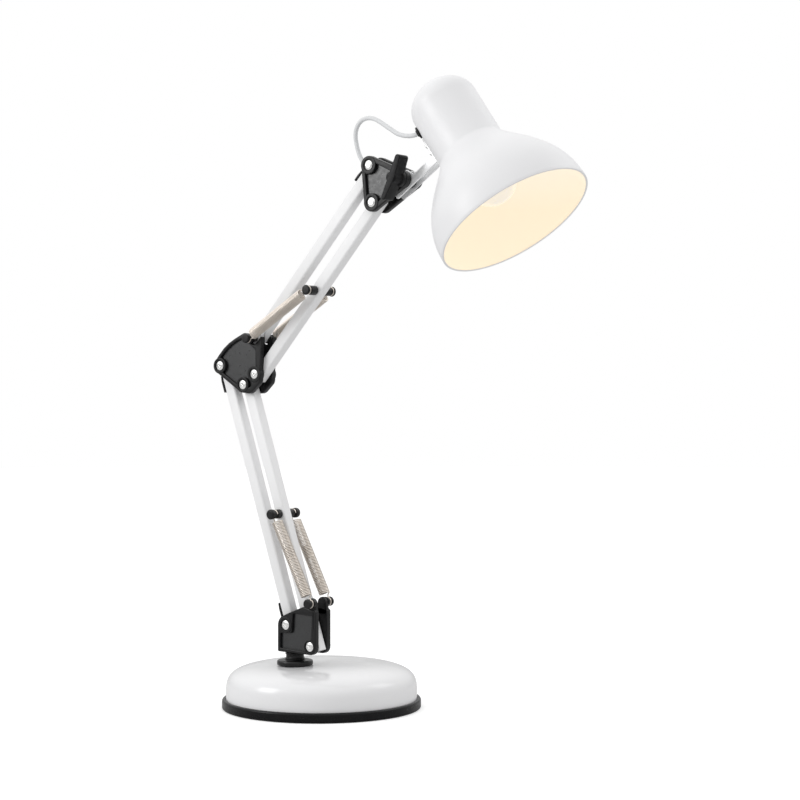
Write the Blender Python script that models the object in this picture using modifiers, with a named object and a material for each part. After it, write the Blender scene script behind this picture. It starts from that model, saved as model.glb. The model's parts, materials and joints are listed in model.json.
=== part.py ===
"""Swing arm desk lamp: a round weighted base, two spring-balanced parallelogram arms and a tilting shade.

The frame is +Z up with its origin at the centre of the base's underside. The arms stand in a plane
of constant Y through the swivel axis and reach towards +X. Sizes are in millimetres until they meet
Blender, which takes metres.
"""

import math

import bmesh
import bpy
from mathutils import Matrix, Vector, geometry

MM = 0.001

# Base
BASE_RADIUS = 92.0
RIM_HEIGHT = 9.0
DOME_RADIUS = 88.4
DOME_TOP = 41.7
DOME_WALL = 1.4
DOME_SHOULDER_START = 12.0
DOME_SHOULDER_POWER = 3.9
SWIVEL_X, SWIVEL_Y = -8.0, -29.0

# Arm linkage, as (x, z) measured from the swivel axis and the floor
REAR_FOOT = Vector((-2.2, 79.0))
FRONT_FOOT = Vector((26.1, 61.1))
BASE_PEG = Vector((27.8, 100.4))
LOWER_LENGTH, LOWER_LEAN = 250.4, math.radians(-18.6)
UPPER_LENGTH, UPPER_LEAN = 203.0, math.radians(42.1)
ELBOW_STEP = Vector((42.1, -8.2))
UPPER_SPREAD = Vector((-3.1, 33.0))
TILT_FROM_HEAD_PIVOT = Vector((35.1, -14.4))

TUBE_WIDTH, TUBE_DEPTH, TUBE_WALL = 11.4, 10.8, 1.2
TUBE_CORNER = 1.8
TUBE_PAST_PIVOT = 5.0

# Bracket plates, as distances from the arm plane
PLATE_INNER, PLATE_OUTER, PLATE_BOSS, PLATE_RECESS = 5.8, 11.2, 11.7, 9.9
PLATE_CHAMFER = 1.0

# Pins, rivets and springs
RIVET_RADIUS, RIVET_HEAD, PIVOT_HOLE = 3.0, 4.4, 3.35
GROOVE_RADIUS, PEG_HEAD = 2.6, 4.3
LOWER_SPRING_Y, UPPER_SPRING_Y = 13.0, 15.5
SPRING_RADIUS, SPRING_WIRE = 5.3, 0.6
HOOK_RADIUS = 3.7
COIL_FROM_PIN = 7.5
LOWER_COIL_GAP, UPPER_COIL_GAP = 9.5, 14.0

# Shade, as stations along its axis above the mouth
MOUTH = Vector((240.2, 435.0))
SHADE_TILT = math.radians(35.2)
MOUTH_RADIUS, NECK_RADIUS = 69.9, 30.3
BOWL_DEPTH, DOME_START, SHADE_LENGTH = 79.0, 126.0, 150.0
SHADE_WALL = 1.2
BULB_RADIUS, BULB_TIP = 22.5, 22.0
HOLDER_START, HOLDER_END = 84.0, 121.0
GROMMET_STATION, GROMMET_TURN = 118.0, math.radians(25.0)

FORK_BEHIND, FORK_BOTTOM, FORK_STRIP_TOP, FORK_EAR_TOP, FORK_WEB_TOP = 16.5, -9.6, -2.3, 6.0, 16.5
FORK_INNER, FORK_OUTER, FORK_PLATE = 3.7, 5.2, 1.6
FORK_SCREWS = (2.5, 10.5)  # along the neck, from the tilt axis
FORK_GAP_TO_NECK = 0.7

CORD_RADIUS = 2.0


def up_lean(lean):
    """Unit (x, z) of a bar that leans forward from the vertical by this angle."""
    return Vector((math.sin(lean), math.cos(lean)))


LOWER_UP, UPPER_UP = up_lean(LOWER_LEAN), up_lean(UPPER_LEAN)
REAR_KNEE = REAR_FOOT + LOWER_LENGTH * LOWER_UP
FRONT_KNEE = FRONT_FOOT + LOWER_LENGTH * LOWER_UP
LOW_ELBOW = REAR_KNEE + ELBOW_STEP
HIGH_ELBOW = LOW_ELBOW + UPPER_SPREAD
HIGH_HEAD = HIGH_ELBOW + UPPER_LENGTH * UPPER_UP
LOW_HEAD = LOW_ELBOW + UPPER_LENGTH * UPPER_UP
TILT = HIGH_HEAD + TILT_FROM_HEAD_PIVOT
LOWER_PIN = FRONT_FOOT + 0.5 * LOWER_LENGTH * LOWER_UP
UPPER_PIN = LOW_ELBOW + 0.5 * UPPER_LENGTH * UPPER_UP
SHADE_UP = up_lean(-SHADE_TILT)
SHADE_OUT = Vector((-SHADE_UP.y, SHADE_UP.x)) * -1.0  # from the bracket towards the neck


# Scene set-up

for old in list(bpy.data.objects):
    bpy.data.objects.remove(old, do_unlink=True)

parts = bpy.data.collections.new("desk_lamp")
cutters = bpy.data.collections.new("cutters")
bpy.context.scene.collection.children.link(parts)
bpy.context.scene.collection.children.link(cutters)


def material(name, colour, roughness, metallic=0.0):
    made = bpy.data.materials.new(name)
    made.use_nodes = True
    shader = made.node_tree.nodes["Principled BSDF"]
    shader.inputs["Base Color"].default_value = (*colour, 1.0)
    shader.inputs["Roughness"].default_value = roughness
    shader.inputs["Metallic"].default_value = metallic
    return made


WHITE_GLOSS = material("white_gloss", (0.86, 0.86, 0.87), 0.18)
WHITE_SATIN = material("white_satin", (0.85, 0.85, 0.86), 0.38)
BLACK_PLASTIC = material("black_plastic", (0.022, 0.022, 0.025), 0.42)
STEEL = material("steel", (0.62, 0.62, 0.62), 0.28, 1.0)
SPRING_STEEL = material("spring_steel", (0.58, 0.54, 0.47), 0.3, 1.0)
CAST_IRON = material("cast_iron", (0.12, 0.12, 0.12), 0.7, 1.0)
RUBBER = material("rubber", (0.03, 0.03, 0.03), 0.8)
OPAL_GLASS = material("opal_glass", (1.0, 0.93, 0.8), 0.3)
CORD_GREY = material("cord_grey", (0.62, 0.63, 0.64), 0.5)


# Bodies: each is an empty on its joint's axis, and the pieces that move with it are its children

def body(name, parent, x, y, z):
    """An empty at this place, in millimetres in the lamp's frame."""
    empty = bpy.data.objects.new(name, None)
    empty["place"] = (x, y, z)
    parts.objects.link(empty)
    if parent:
        empty.parent = parent
    start = Vector(parent["place"]) if parent else Vector()
    empty.location = (Vector((x, y, z)) - start) * MM
    return empty


def arm_body(name, parent, pivot):
    return body(name, parent, SWIVEL_X + pivot.x, SWIVEL_Y, pivot.y)


def in_lamp(point, y=0.0):
    """An (x, z) of the arm plane, and a distance y from that plane, in the lamp's frame."""
    return Vector((SWIVEL_X + point.x, SWIVEL_Y + y, point.y))


def place(obj, owner, at=(0.0, 0.0, 0.0), axis=None):
    """Puts obj at a point of the lamp's frame, with its local Z along axis, as owner's child."""
    obj.parent = owner
    obj.location = (Vector(at) - Vector(owner["place"])) * MM
    if axis is not None:
        obj.rotation_mode = "QUATERNION"
        obj.rotation_quaternion = Vector((0, 0, 1)).rotation_difference(Vector(axis))
    return obj


# Shapes

def new_object(name, mesh, finish, collection=parts):
    obj = bpy.data.objects.new(name, mesh)
    mesh.materials.append(finish)
    collection.objects.link(obj)
    return obj


def as_cutter(obj):
    """Moves a finished shape out of the lamp, so that it only cuts or joins."""
    parts.objects.unlink(obj)
    cutters.objects.link(obj)
    obj.hide_render = True
    obj.display_type = "WIRE"
    return obj


def combine(obj, other, operation):
    modifier = obj.modifiers.new(operation.lower(), "BOOLEAN")
    modifier.operation = operation
    modifier.solver = "EXACT"
    modifier.object = as_cutter(other)
    return obj


def smooth(obj, angle=35.0):
    obj.data.shade_smooth()
    obj.data.set_sharp_from_angle(angle=math.radians(angle))
    return obj


def turned(name, profile, finish, steps=32, ring=False):
    """Turns (radius, height) points about local Z. They run down the outer side; a ring's close up."""
    mesh = bpy.data.meshes.new(name)
    points = [(radius * MM, 0.0, height * MM) for radius, height in profile]
    edges = [(i, i + 1) for i in range(len(points) - 1)]
    if ring:
        edges.append((len(points) - 1, 0))
    mesh.from_pydata(points, edges, [])
    obj = new_object(name, mesh, finish)
    screw = obj.modifiers.new("turn", "SCREW")
    screw.steps = screw.render_steps = steps
    screw.use_merge_vertices = True
    screw.merge_threshold = 0.00001
    screw.use_smooth_shade = True
    return obj


def realised(obj, finish):
    """The object as one plain mesh with its modifiers applied and its seams welded."""
    bpy.context.view_layer.update()
    graph = bpy.context.evaluated_depsgraph_get()
    mesh = bpy.data.meshes.new_from_object(obj.evaluated_get(graph))
    name, matrix = obj.name, obj.matrix_world.copy()
    bpy.data.objects.remove(obj, do_unlink=True)
    work = bmesh.new()
    work.from_mesh(mesh)
    bmesh.ops.remove_doubles(work, verts=work.verts, dist=1e-6)
    bmesh.ops.recalc_face_normals(work, faces=work.faces)
    work.to_mesh(mesh)
    work.free()
    mesh.materials.clear()
    made = new_object(name, mesh, finish)
    made.matrix_world = matrix
    return made


def flat(name, outlines, low, high, finish, chamfer=0.0):
    """A plate of closed (x, z) outlines, between two distances from the arm plane. Inner outlines are holes."""
    curve = bpy.data.curves.new(name, "CURVE")
    curve.dimensions = "2D"
    curve.fill_mode = "BOTH"
    curve.extrude = (high - low) / 2 * MM
    for outline in outlines:
        spline = curve.splines.new("POLY")
        spline.points.add(len(outline) - 1)
        for point, (x, z) in zip(spline.points, outline):
            point.co = (x * MM, z * MM, 0.0, 1.0)
        spline.use_cyclic_u = True
    obj = bpy.data.objects.new(name, curve)
    parts.objects.link(obj)
    obj.matrix_world = Matrix.Translation((0, (low + high) / 2 * MM, 0)) @ Matrix.Rotation(math.pi / 2, 4, "X")
    made = realised(obj, finish)
    made.data.transform(made.matrix_world)
    made.matrix_world = Matrix.Identity(4)
    if chamfer:
        bevel = made.modifiers.new("edges", "BEVEL")
        bevel.width = chamfer * MM
        bevel.segments = 1
        bevel.limit_method = "ANGLE"
        bevel.angle_limit = math.radians(60)
    return made


def arc(centre, radius, start, end, steps):
    """Points along an arc, angles in radians from +X towards +Z."""
    turns = [start + (end - start) * i / steps for i in range(steps + 1)]
    return [Vector((centre[0] + radius * math.cos(t), centre[1] + radius * math.sin(t))) for t in turns]


def hull(discs, grow=0.0, steps=20):
    """The outline of a band stretched round discs, each (x, z, radius)."""
    points = []
    for x, z, radius in discs:
        points += arc((x, z), radius + grow, 0.0, 2 * math.pi * (1 - 1 / steps), steps - 1)
    return [points[i] for i in geometry.convex_hull_2d(points)]


def hulled(name, discs, layers, finish):
    """A solid stretched over hulls of the same discs, each layer a distance from the arm plane and a growth."""
    work = bmesh.new()
    for distance, grow in layers:
        for x, z in hull(discs, grow):
            work.verts.new((x * MM, distance * MM, z * MM))
    made = bmesh.ops.convex_hull(work, input=work.verts)
    spare = {v for v in made["geom_interior"] + made["geom_unused"] if isinstance(v, bmesh.types.BMVert)}
    bmesh.ops.delete(work, geom=list(spare), context="VERTS")
    bmesh.ops.dissolve_limit(work, angle_limit=math.radians(0.2), verts=work.verts, edges=work.edges)
    bmesh.ops.recalc_face_normals(work, faces=work.faces)
    mesh = bpy.data.meshes.new(name)
    work.to_mesh(mesh)
    work.free()
    return new_object(name, mesh, finish)


def rounded(corners, steps=3):
    """A polygon with each corner, (x, z, radius), rounded off."""
    outline = []
    for i, (x, z, radius) in enumerate(corners):
        here = Vector((x, z))
        before = (Vector(corners[i - 1][:2]) - here).normalized()
        after = (Vector(corners[(i + 1) % len(corners)][:2]) - here).normalized()
        half = before.angle(after) / 2
        if radius == 0.0:
            outline.append(here)
            continue
        reach = radius / math.tan(half)
        start, end = here + before * reach, here + after * reach
        centre = here + (before + after).normalized() * (radius / math.sin(half))
        first = math.atan2(start.y - centre.y, start.x - centre.x)
        last = math.atan2(end.y - centre.y, end.x - centre.x)
        sweep = (last - first + math.pi) % (2 * math.pi) - math.pi
        outline += arc(centre, radius, first, first + sweep, steps)
    return outline


def disc(name, point, radius, low, high, finish, steps=16):
    """A cylinder across the arm plane."""
    return flat(name, [arc(point, radius, 0.0, 2 * math.pi * (1 - 1 / steps), steps - 1)], low, high, finish)


def rod(name, start, end, radius, finish, sides=16):
    """A cylinder between two points of the lamp's frame, in millimetres."""
    work = bmesh.new()
    start, end = Vector(start), Vector(end)
    bmesh.ops.create_cone(work, cap_ends=True, segments=sides, radius1=radius * MM, radius2=radius * MM,
                          depth=(end - start).length * MM)
    mesh = bpy.data.meshes.new(name)
    turn = Vector((0, 0, 1)).rotation_difference(end - start).to_matrix().to_4x4()
    work.transform(Matrix.Translation((start + end) / 2 * MM) @ turn)
    work.to_mesh(mesh)
    work.free()
    return new_object(name, mesh, finish)


def mirrored(obj, name):
    """The same piece on the other side of the arm plane."""
    bpy.context.view_layer.update()
    graph = bpy.context.evaluated_depsgraph_get()
    mesh = bpy.data.meshes.new_from_object(obj.evaluated_get(graph))
    mesh.transform(Matrix.Scale(-1.0, 4, (0, 1, 0)))
    mesh.flip_normals()
    made = bpy.data.objects.new(name, mesh)
    parts.objects.link(made)
    return made


def own(obj, owner):
    """Gives owner a piece that was drawn in arm coordinates, with the shapes that cut it."""
    for modifier in obj.modifiers:
        if modifier.type == "BOOLEAN":
            own(modifier.object, owner)
    return place(obj, owner, in_lamp(Vector((0.0, 0.0))))


# Base

def dome_height(radius):
    rise = DOME_TOP - DOME_SHOULDER_START
    share = max(0.0, 1 - (radius / DOME_RADIUS) ** DOME_SHOULDER_POWER)
    return DOME_SHOULDER_START + rise * share ** (1 / DOME_SHOULDER_POWER)


def make_base(base):
    rim = turned("base_rim", [(88.8, RIM_HEIGHT), (91.2, RIM_HEIGHT), (BASE_RADIUS, 8.2), (BASE_RADIUS, 0.6),
                              (91.4, 0.0), (88.8, 0.0)], BLACK_PLASTIC, 40, ring=True)
    place(rim, base)

    radii = [DOME_RADIUS * math.sin(math.pi / 2 * i / 8) for i in range(9)]
    cover = turned("base_cover", [(r, dome_height(r)) for r in radii] + [(DOME_RADIUS, 3.7)], WHITE_GLOSS, 36)
    shell = cover.modifiers.new("wall", "SOLIDIFY")
    shell.thickness = DOME_WALL * MM
    shell.offset = -1.0
    place(cover, base)
    swivel = (SWIVEL_X, SWIVEL_Y)
    combine(cover, rod("cover_hole", (*swivel, 30), (*swivel, 50), 7.0, STEEL, 24), "DIFFERENCE")

    inlet_turn = math.radians(127.0)
    out = Vector((math.cos(inlet_turn), math.sin(inlet_turn), 0.0))
    inlet_at = Vector((0.0, 0.0, 17.0))
    combine(cover, rod("inlet_hole", inlet_at + 80 * out, inlet_at + 95 * out, 4.6, STEEL, 24), "DIFFERENCE")
    inlet = turned("cord_inlet", [(2.6, 7.0), (4.6, 7.0), (6.4, 5.6), (6.4, 4.4), (4.2, 4.4), (4.2, 0.0),
                                  (2.6, 0.0)], BLACK_PLASTIC, 24, ring=True)
    place(inlet, base, inlet_at + 84.6 * out, out)

    weight = rod("base_weight", (0, 0, 3.6), (0, 0, 19.0), 79.0, CAST_IRON, 40)
    combine(weight, rod("weight_boss", (*swivel, 10), (*swivel, 38.4), 14.0, CAST_IRON, 24), "UNION")
    combine(weight, rod("weight_bore", (*swivel, 0), (*swivel, 60), 5.3, CAST_IRON, 24), "DIFFERENCE")
    combine(weight, rod("weight_pocket", (*swivel, 0), (*swivel, 18), 12.0, CAST_IRON, 24), "DIFFERENCE")
    place(weight, base)

    place(rod("base_plate", (0, 0, 1.4), (0, 0, 3.2), 88.3, STEEL, 40), base)
    place(rod("foot_pad", (0, 0, 0.0), (0, 0, 1.1), 88.3, RUBBER, 40), base)

    collar = turned("swivel_collar", [(5.4, 47.1), (15.7, 47.1), (16.5, 46.3), (16.5, 42.0), (5.4, 42.0)],
                    BLACK_PLASTIC, 32, ring=True)
    place(collar, base, (*swivel, 0.0))


# Bracket on the swivel

def make_swivel(swivel):
    spindle = turned("swivel_spindle", [(0, 53.2), (8.2, 53.2), (8.2, 47.4), (4.9, 47.4), (4.9, 7.0), (0, 7.0)],
                     BLACK_PLASTIC, 24)
    place(spindle, swivel, (SWIVEL_X, SWIVEL_Y, 0.0))
    tang = flat("spindle_tang", [rounded([(-6.0, 51.0, 0.0), (6.0, 51.0, 0.0), (6.0, 66.0, 2.0), (-6.0, 66.0, 2.0)])],
                -5.3, 5.3, BLACK_PLASTIC)
    combine(spindle, place(tang, swivel, (SWIVEL_X, SWIVEL_Y, 0.0)), "UNION")
    nut = rod("spindle_nut", (SWIVEL_X, SWIVEL_Y, 9.0), (SWIVEL_X, SWIVEL_Y, 16.0), 9.0, STEEL, 6)
    combine(nut, rod("nut_bore", (SWIVEL_X, SWIVEL_Y, 0), (SWIVEL_X, SWIVEL_Y, 30), 5.2, STEEL, 24), "DIFFERENCE")
    place(nut, swivel)

    outline = rounded([(-11.4, 53.8, 1.5), (32.2, 53.8, 5.0), (32.2, 94.6, 2.5), (20.2, 97.4, 2.0),
                       (12.0, 92.3, 3.0), (4.2, 92.3, 3.0), (-11.4, 82.6, 4.0)])
    front = flat("base_bracket_front", [outline], -PLATE_OUTER, -PLATE_INNER, BLACK_PLASTIC, PLATE_CHAMFER)
    panel = rounded([(-8.0, 56.8, 1.0), (18.5, 56.8, 1.0), (18.5, 68.5, 1.0), (28.6, 68.5, 1.0),
                     (28.6, 90.2, 1.0), (3.5, 90.2, 1.0), (3.5, 71.0, 1.0), (-8.0, 71.0, 1.0)])
    combine(front, flat("base_panel", [panel], -14.0, -PLATE_RECESS, STEEL), "DIFFERENCE")
    ear = hull([(*BASE_PEG, 5.2), (26.0, 86.0, 3.0), (29.0, 86.0, 3.0)])
    combine(front, flat("base_ear", [ear], -9.0, -PLATE_INNER, STEEL), "UNION")
    for label, pivot in (("rear", REAR_FOOT), ("front", FRONT_FOOT)):
        combine(front, disc("base_pad_" + label, pivot, 6.0, -PLATE_BOSS, -8.0, STEEL, 20), "UNION")
        combine(front, disc("base_hole_" + label, pivot, PIVOT_HOLE, -20.0, 0.0, STEEL, 16), "DIFFERENCE")
    combine(front, disc("peg_hole", BASE_PEG, GROOVE_RADIUS + 0.3, -20.0, 0.0, STEEL, 16), "DIFFERENCE")
    own(front, swivel)
    own(mirrored(front, "base_bracket_back"), swivel)
    for label, side in (("front", -1.0), ("back", 1.0)):
        head = LOWER_SPRING_Y + 1.9
        profile = [(0, 17.6), (PEG_HEAD, 17.6), (PEG_HEAD, head), (GROOVE_RADIUS, head), (GROOVE_RADIUS, 6.0),
                   (0, 6.0)]
        peg = smooth(turned("base_spring_peg_" + label, profile, BLACK_PLASTIC, 16))
        place(peg, swivel, in_lamp(BASE_PEG), (0, side, 0))
    for label, pivot in (("rear", REAR_FOOT), ("front", FRONT_FOOT)):
        rivet("base_rivet_" + label, pivot, swivel)


def rivet(name, pivot, owner):
    """A pivot pin with a low round head outside each bracket plate."""
    end = PLATE_BOSS + 0.3
    half = [(RIVET_HEAD, end), (3.4, end + 1.6)]
    profile = [(0, end + 1.6)] + half[::-1] + [(RIVET_RADIUS, end), (RIVET_RADIUS, -end)]
    profile += [(radius, -height) for radius, height in half] + [(0, -end - 1.6)]
    place(smooth(turned(name, profile, STEEL, 14)), owner, in_lamp(pivot), (0, -1, 0))


# Tubes of the arms

def tube(name, start, direction, length, owner, cross_hole=None):
    """A rectangular tube from pivot to pivot, drilled for its rivets and for a spring pin."""
    half_width, half_depth = TUBE_WIDTH / 2, TUBE_DEPTH / 2

    def section(inset):
        w, d, r = half_width - inset, half_depth - inset, TUBE_CORNER - inset * 0.8
        return rounded([(-w, -d, r), (w, -d, r), (w, d, r), (-w, d, r)], 1)

    reach = length / 2 + TUBE_PAST_PIVOT
    obj = flat(name, [section(0.0), section(TUBE_WALL)], -reach, reach, WHITE_SATIN)
    # drawn upright, so that the bar's length is along Y before it is leaned into place
    lean = Matrix.Rotation(math.atan2(direction.x, direction.y), 4, "Y") @ Matrix.Rotation(math.pi / 2, 4, "X")
    middle = start + direction * length / 2
    obj.data.transform(Matrix.Translation((middle.x * MM, 0, middle.y * MM)) @ lean)
    for i, pivot in enumerate((start, start + direction * length)):
        combine(obj, disc(f"{name}_hole_{i}", pivot, PIVOT_HOLE, -20.0, 20.0, STEEL), "DIFFERENCE")
    if cross_hole:
        combine(obj, disc(f"{name}_pin_hole", cross_hole, 2.5, -20.0, 20.0, STEEL), "DIFFERENCE")
    return own(obj, owner)


def guard(name, start, direction, low, high, owner):
    """A thin strip on a tube's outer side, from low to high along it."""
    side = Vector((-direction.y, direction.x))
    near, far = TUBE_WIDTH / 2 + 0.3, TUBE_WIDTH / 2 + 1.9
    corners = [start + direction * along + side * off
               for along, off in ((low, near), (high, near), (high, far - 0.6), (high - 1.0, far), (low, far))]
    return own(flat(name, [corners], -TUBE_DEPTH / 2, TUBE_DEPTH / 2, BLACK_PLASTIC), owner)


def spring_pin(prefix, pivot, owner, spring_y, end):
    """A steel pin through a tube with a grooved bushing on each side."""
    place(turned(prefix + "_spring_pin", [(0, end - 1.4), (2.2, end - 1.4), (2.2, 1.4 - end), (0, 1.4 - end)],
                 STEEL, 16), owner, in_lamp(pivot), (0, -1, 0))
    for label, side in (("front", -1.0), ("back", 1.0)):
        profile = [(0, end), (3.7, end), (4.6, end - 0.9), (4.6, spring_y + 1.9), (2.9, spring_y + 1.9),
                   (2.9, spring_y - 1.9), (4.2, spring_y - 1.9), (4.2, 5.8), (2.45, 5.8), (2.45, end - 1.1),
                   (0, end - 1.1)]
        bush = smooth(turned(f"{prefix}_spring_bush_{label}", profile, BLACK_PLASTIC, 14))
        place(bush, owner, in_lamp(pivot), (0, side, 0))


def ring_hook(name, centre, y, towards, reach):
    """A wire eye round a groove, with its stem towards the coil."""
    work = bmesh.new()
    mesh = bpy.data.meshes.new(name)
    bpy.ops.mesh.primitive_torus_add(major_radius=HOOK_RADIUS * MM, minor_radius=SPRING_WIRE * MM,
                                     major_segments=14, minor_segments=5)
    torus = bpy.context.object
    work.from_mesh(torus.data)
    bpy.data.objects.remove(torus, do_unlink=True)
    work.transform(Matrix.Translation((centre.x * MM, y * MM, centre.y * MM)) @ Matrix.Rotation(math.pi / 2, 4, "X"))
    work.to_mesh(mesh)
    work.free()
    eye = new_object(name, mesh, SPRING_STEEL)
    inner, outer = centre + towards * HOOK_RADIUS, centre + towards * reach
    stem = rod(name + "_stem", (inner.x, y, inner.y), (outer.x, y, outer.y), SPRING_WIRE * 1.05, SPRING_STEEL, 6)
    return combine(eye, stem, "UNION")


def springs(prefix, pin, peg, spring_y, coil_gap, coil_body, hook_body):
    """The two springs of an arm: coils with their eyes on the tube's pin, and long hooks on the bracket's pin.

    The coil is open at the bracket's end, so that the hook slides in it as the spring's length changes.
    """
    towards = (peg - pin).normalized()
    length = (peg - pin).length
    for label, side in (("front", -1.0), ("back", 1.0)):
        y = side * spring_y
        start, end = pin + towards * COIL_FROM_PIN, pin + towards * (length - coil_gap)
        coil = ring_hook(f"{prefix}_spring_{label}", pin, y, towards, COIL_FROM_PIN + 2.0)
        body_of_coil = rod(f"{prefix}_coil_{label}", (start.x, y, start.y), (end.x, y, end.y), SPRING_RADIUS,
                           SPRING_STEEL, 16)
        combine(coil, body_of_coil, "UNION")
        deep, past = end - towards * 26.0, end + towards * 5.0
        core = rod(f"{prefix}_core_{label}", (deep.x, y, deep.y), (past.x, y, past.y), SPRING_RADIUS - 1.2,
                   STEEL, 16)
        combine(coil, core, "DIFFERENCE")
        own(coil, coil_body)
        hook = ring_hook(f"{prefix}_spring_hook_{label}", peg, y, -towards, coil_gap + 6.0)
        own(hook, hook_body)


# Elbow and head brackets

ELBOW_DISCS = [(*REAR_KNEE, 7.6), (-60.0, 333.0, 9.8), (*HIGH_ELBOW, 5.6), (-38.9, 335.0, 6.4),
               (-39.6, 303.6, 6.9), (-49.5, 298.2, 7.9), (*FRONT_KNEE, 7.8)]
HEAD_DISCS = [(*HIGH_HEAD, 8.2), (*LOW_HEAD, 8.2), (*TILT, 7.7)]


def bracket(name, discs, pivots, boss):
    """A pair of plates: a rimmed outline round discs, with a round boss and a hole at each pivot."""
    layers = ((-PLATE_INNER, 0.0), (PLATE_CHAMFER - PLATE_OUTER, 0.0), (-PLATE_OUTER, -PLATE_CHAMFER))
    front = hulled(name + "_front", discs, layers, BLACK_PLASTIC)
    combine(front, hulled(name + "_panel", discs, ((-14.0, -2.7), (-PLATE_RECESS, -2.7)), STEEL), "DIFFERENCE")
    for i, pivot in enumerate(pivots):
        combine(front, disc(f"{name}_boss_{i}", pivot, boss, -PLATE_BOSS, -8.0, STEEL, 18), "UNION")
    for i, pivot in enumerate(pivots):
        combine(front, disc(f"{name}_hole_{i}", pivot, PIVOT_HOLE, -20.0, 0.0, STEEL), "DIFFERENCE")
    return front


def make_elbow(elbow):
    pivots = (REAR_KNEE, FRONT_KNEE, LOW_ELBOW)
    front = bracket("elbow_plate", ELBOW_DISCS, pivots, 6.1)
    combine(front, disc("elbow_peg_hole", HIGH_ELBOW, GROOVE_RADIUS + 0.7, -20.0, 0.0, STEEL), "DIFFERENCE")
    own(front, elbow)
    own(mirrored(front, "elbow_plate_back"), elbow)
    for label, pivot in (("rear", REAR_KNEE), ("front", FRONT_KNEE), ("upper", LOW_ELBOW)):
        rivet("elbow_rivet_" + label, pivot, elbow)
    head, end = UPPER_SPRING_Y + 1.9, 20.6
    profile = [(0, end), (PEG_HEAD, end), (PEG_HEAD, head), (2.9, head), (2.9, -head), (PEG_HEAD, -head),
               (PEG_HEAD, -end), (0, -end)]
    pin = smooth(turned("elbow_spring_pin", profile, BLACK_PLASTIC, 16))
    place(pin, elbow, in_lamp(HIGH_ELBOW), (0, -1, 0))


def make_head_bracket(holder):
    front = bracket("head_plate", HEAD_DISCS, (HIGH_HEAD, LOW_HEAD, TILT), 7.2)
    own(front, holder)
    own(mirrored(front, "head_plate_back"), holder)
    rivet("head_rivet_high", HIGH_HEAD, holder)
    rivet("head_rivet_low", LOW_HEAD, holder)
    bolt = turned("tilt_bolt", [(0, 24.0), (3.0, 24.0), (3.0, -12.0), (5.4, -12.0), (5.4, -15.0), (0, -15.0)],
                  STEEL, 24)
    place(bolt, holder, in_lamp(TILT), (0, -1, 0))


def make_knob(knob):
    """A thumb lever: a hub, and a flat bar across it."""
    hub = disc("tilt_knob", TILT, 7.4, -16.0, -12.0, BLACK_PLASTIC, 28)
    along = Vector((math.cos(math.radians(65.7)), math.sin(math.radians(65.7))))
    bar = [(*(TILT + along * reach), 2.0) for reach in (18.6, -18.6)] + [(*TILT, 3.2)]
    layers = ((-26.6, -0.6), (-26.0, 0.0), (-13.9, 0.0), (-13.3, -0.6))
    combine(hub, hulled("knob_bar", bar, layers, STEEL), "UNION")
    combine(hub, disc("knob_core", TILT, 5.6, -26.0, -12.6, STEEL, 24), "UNION")
    combine(hub, disc("knob_bore", TILT, 3.3, -24.3, -5.0, STEEL, 24), "DIFFERENCE")
    own(hub, knob)


# Head

def shade_radius(station):
    share = min(1.0, max(0.0, station / BOWL_DEPTH))
    return NECK_RADIUS + (MOUTH_RADIUS - NECK_RADIUS) * (1 - share ** 2.4) ** 1.5


def on_shade(station, out=0.0, y=0.0):
    """A point at this station, this far from the axis towards the bracket."""
    return in_lamp(MOUTH + SHADE_UP * station - SHADE_OUT * out, y)


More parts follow.
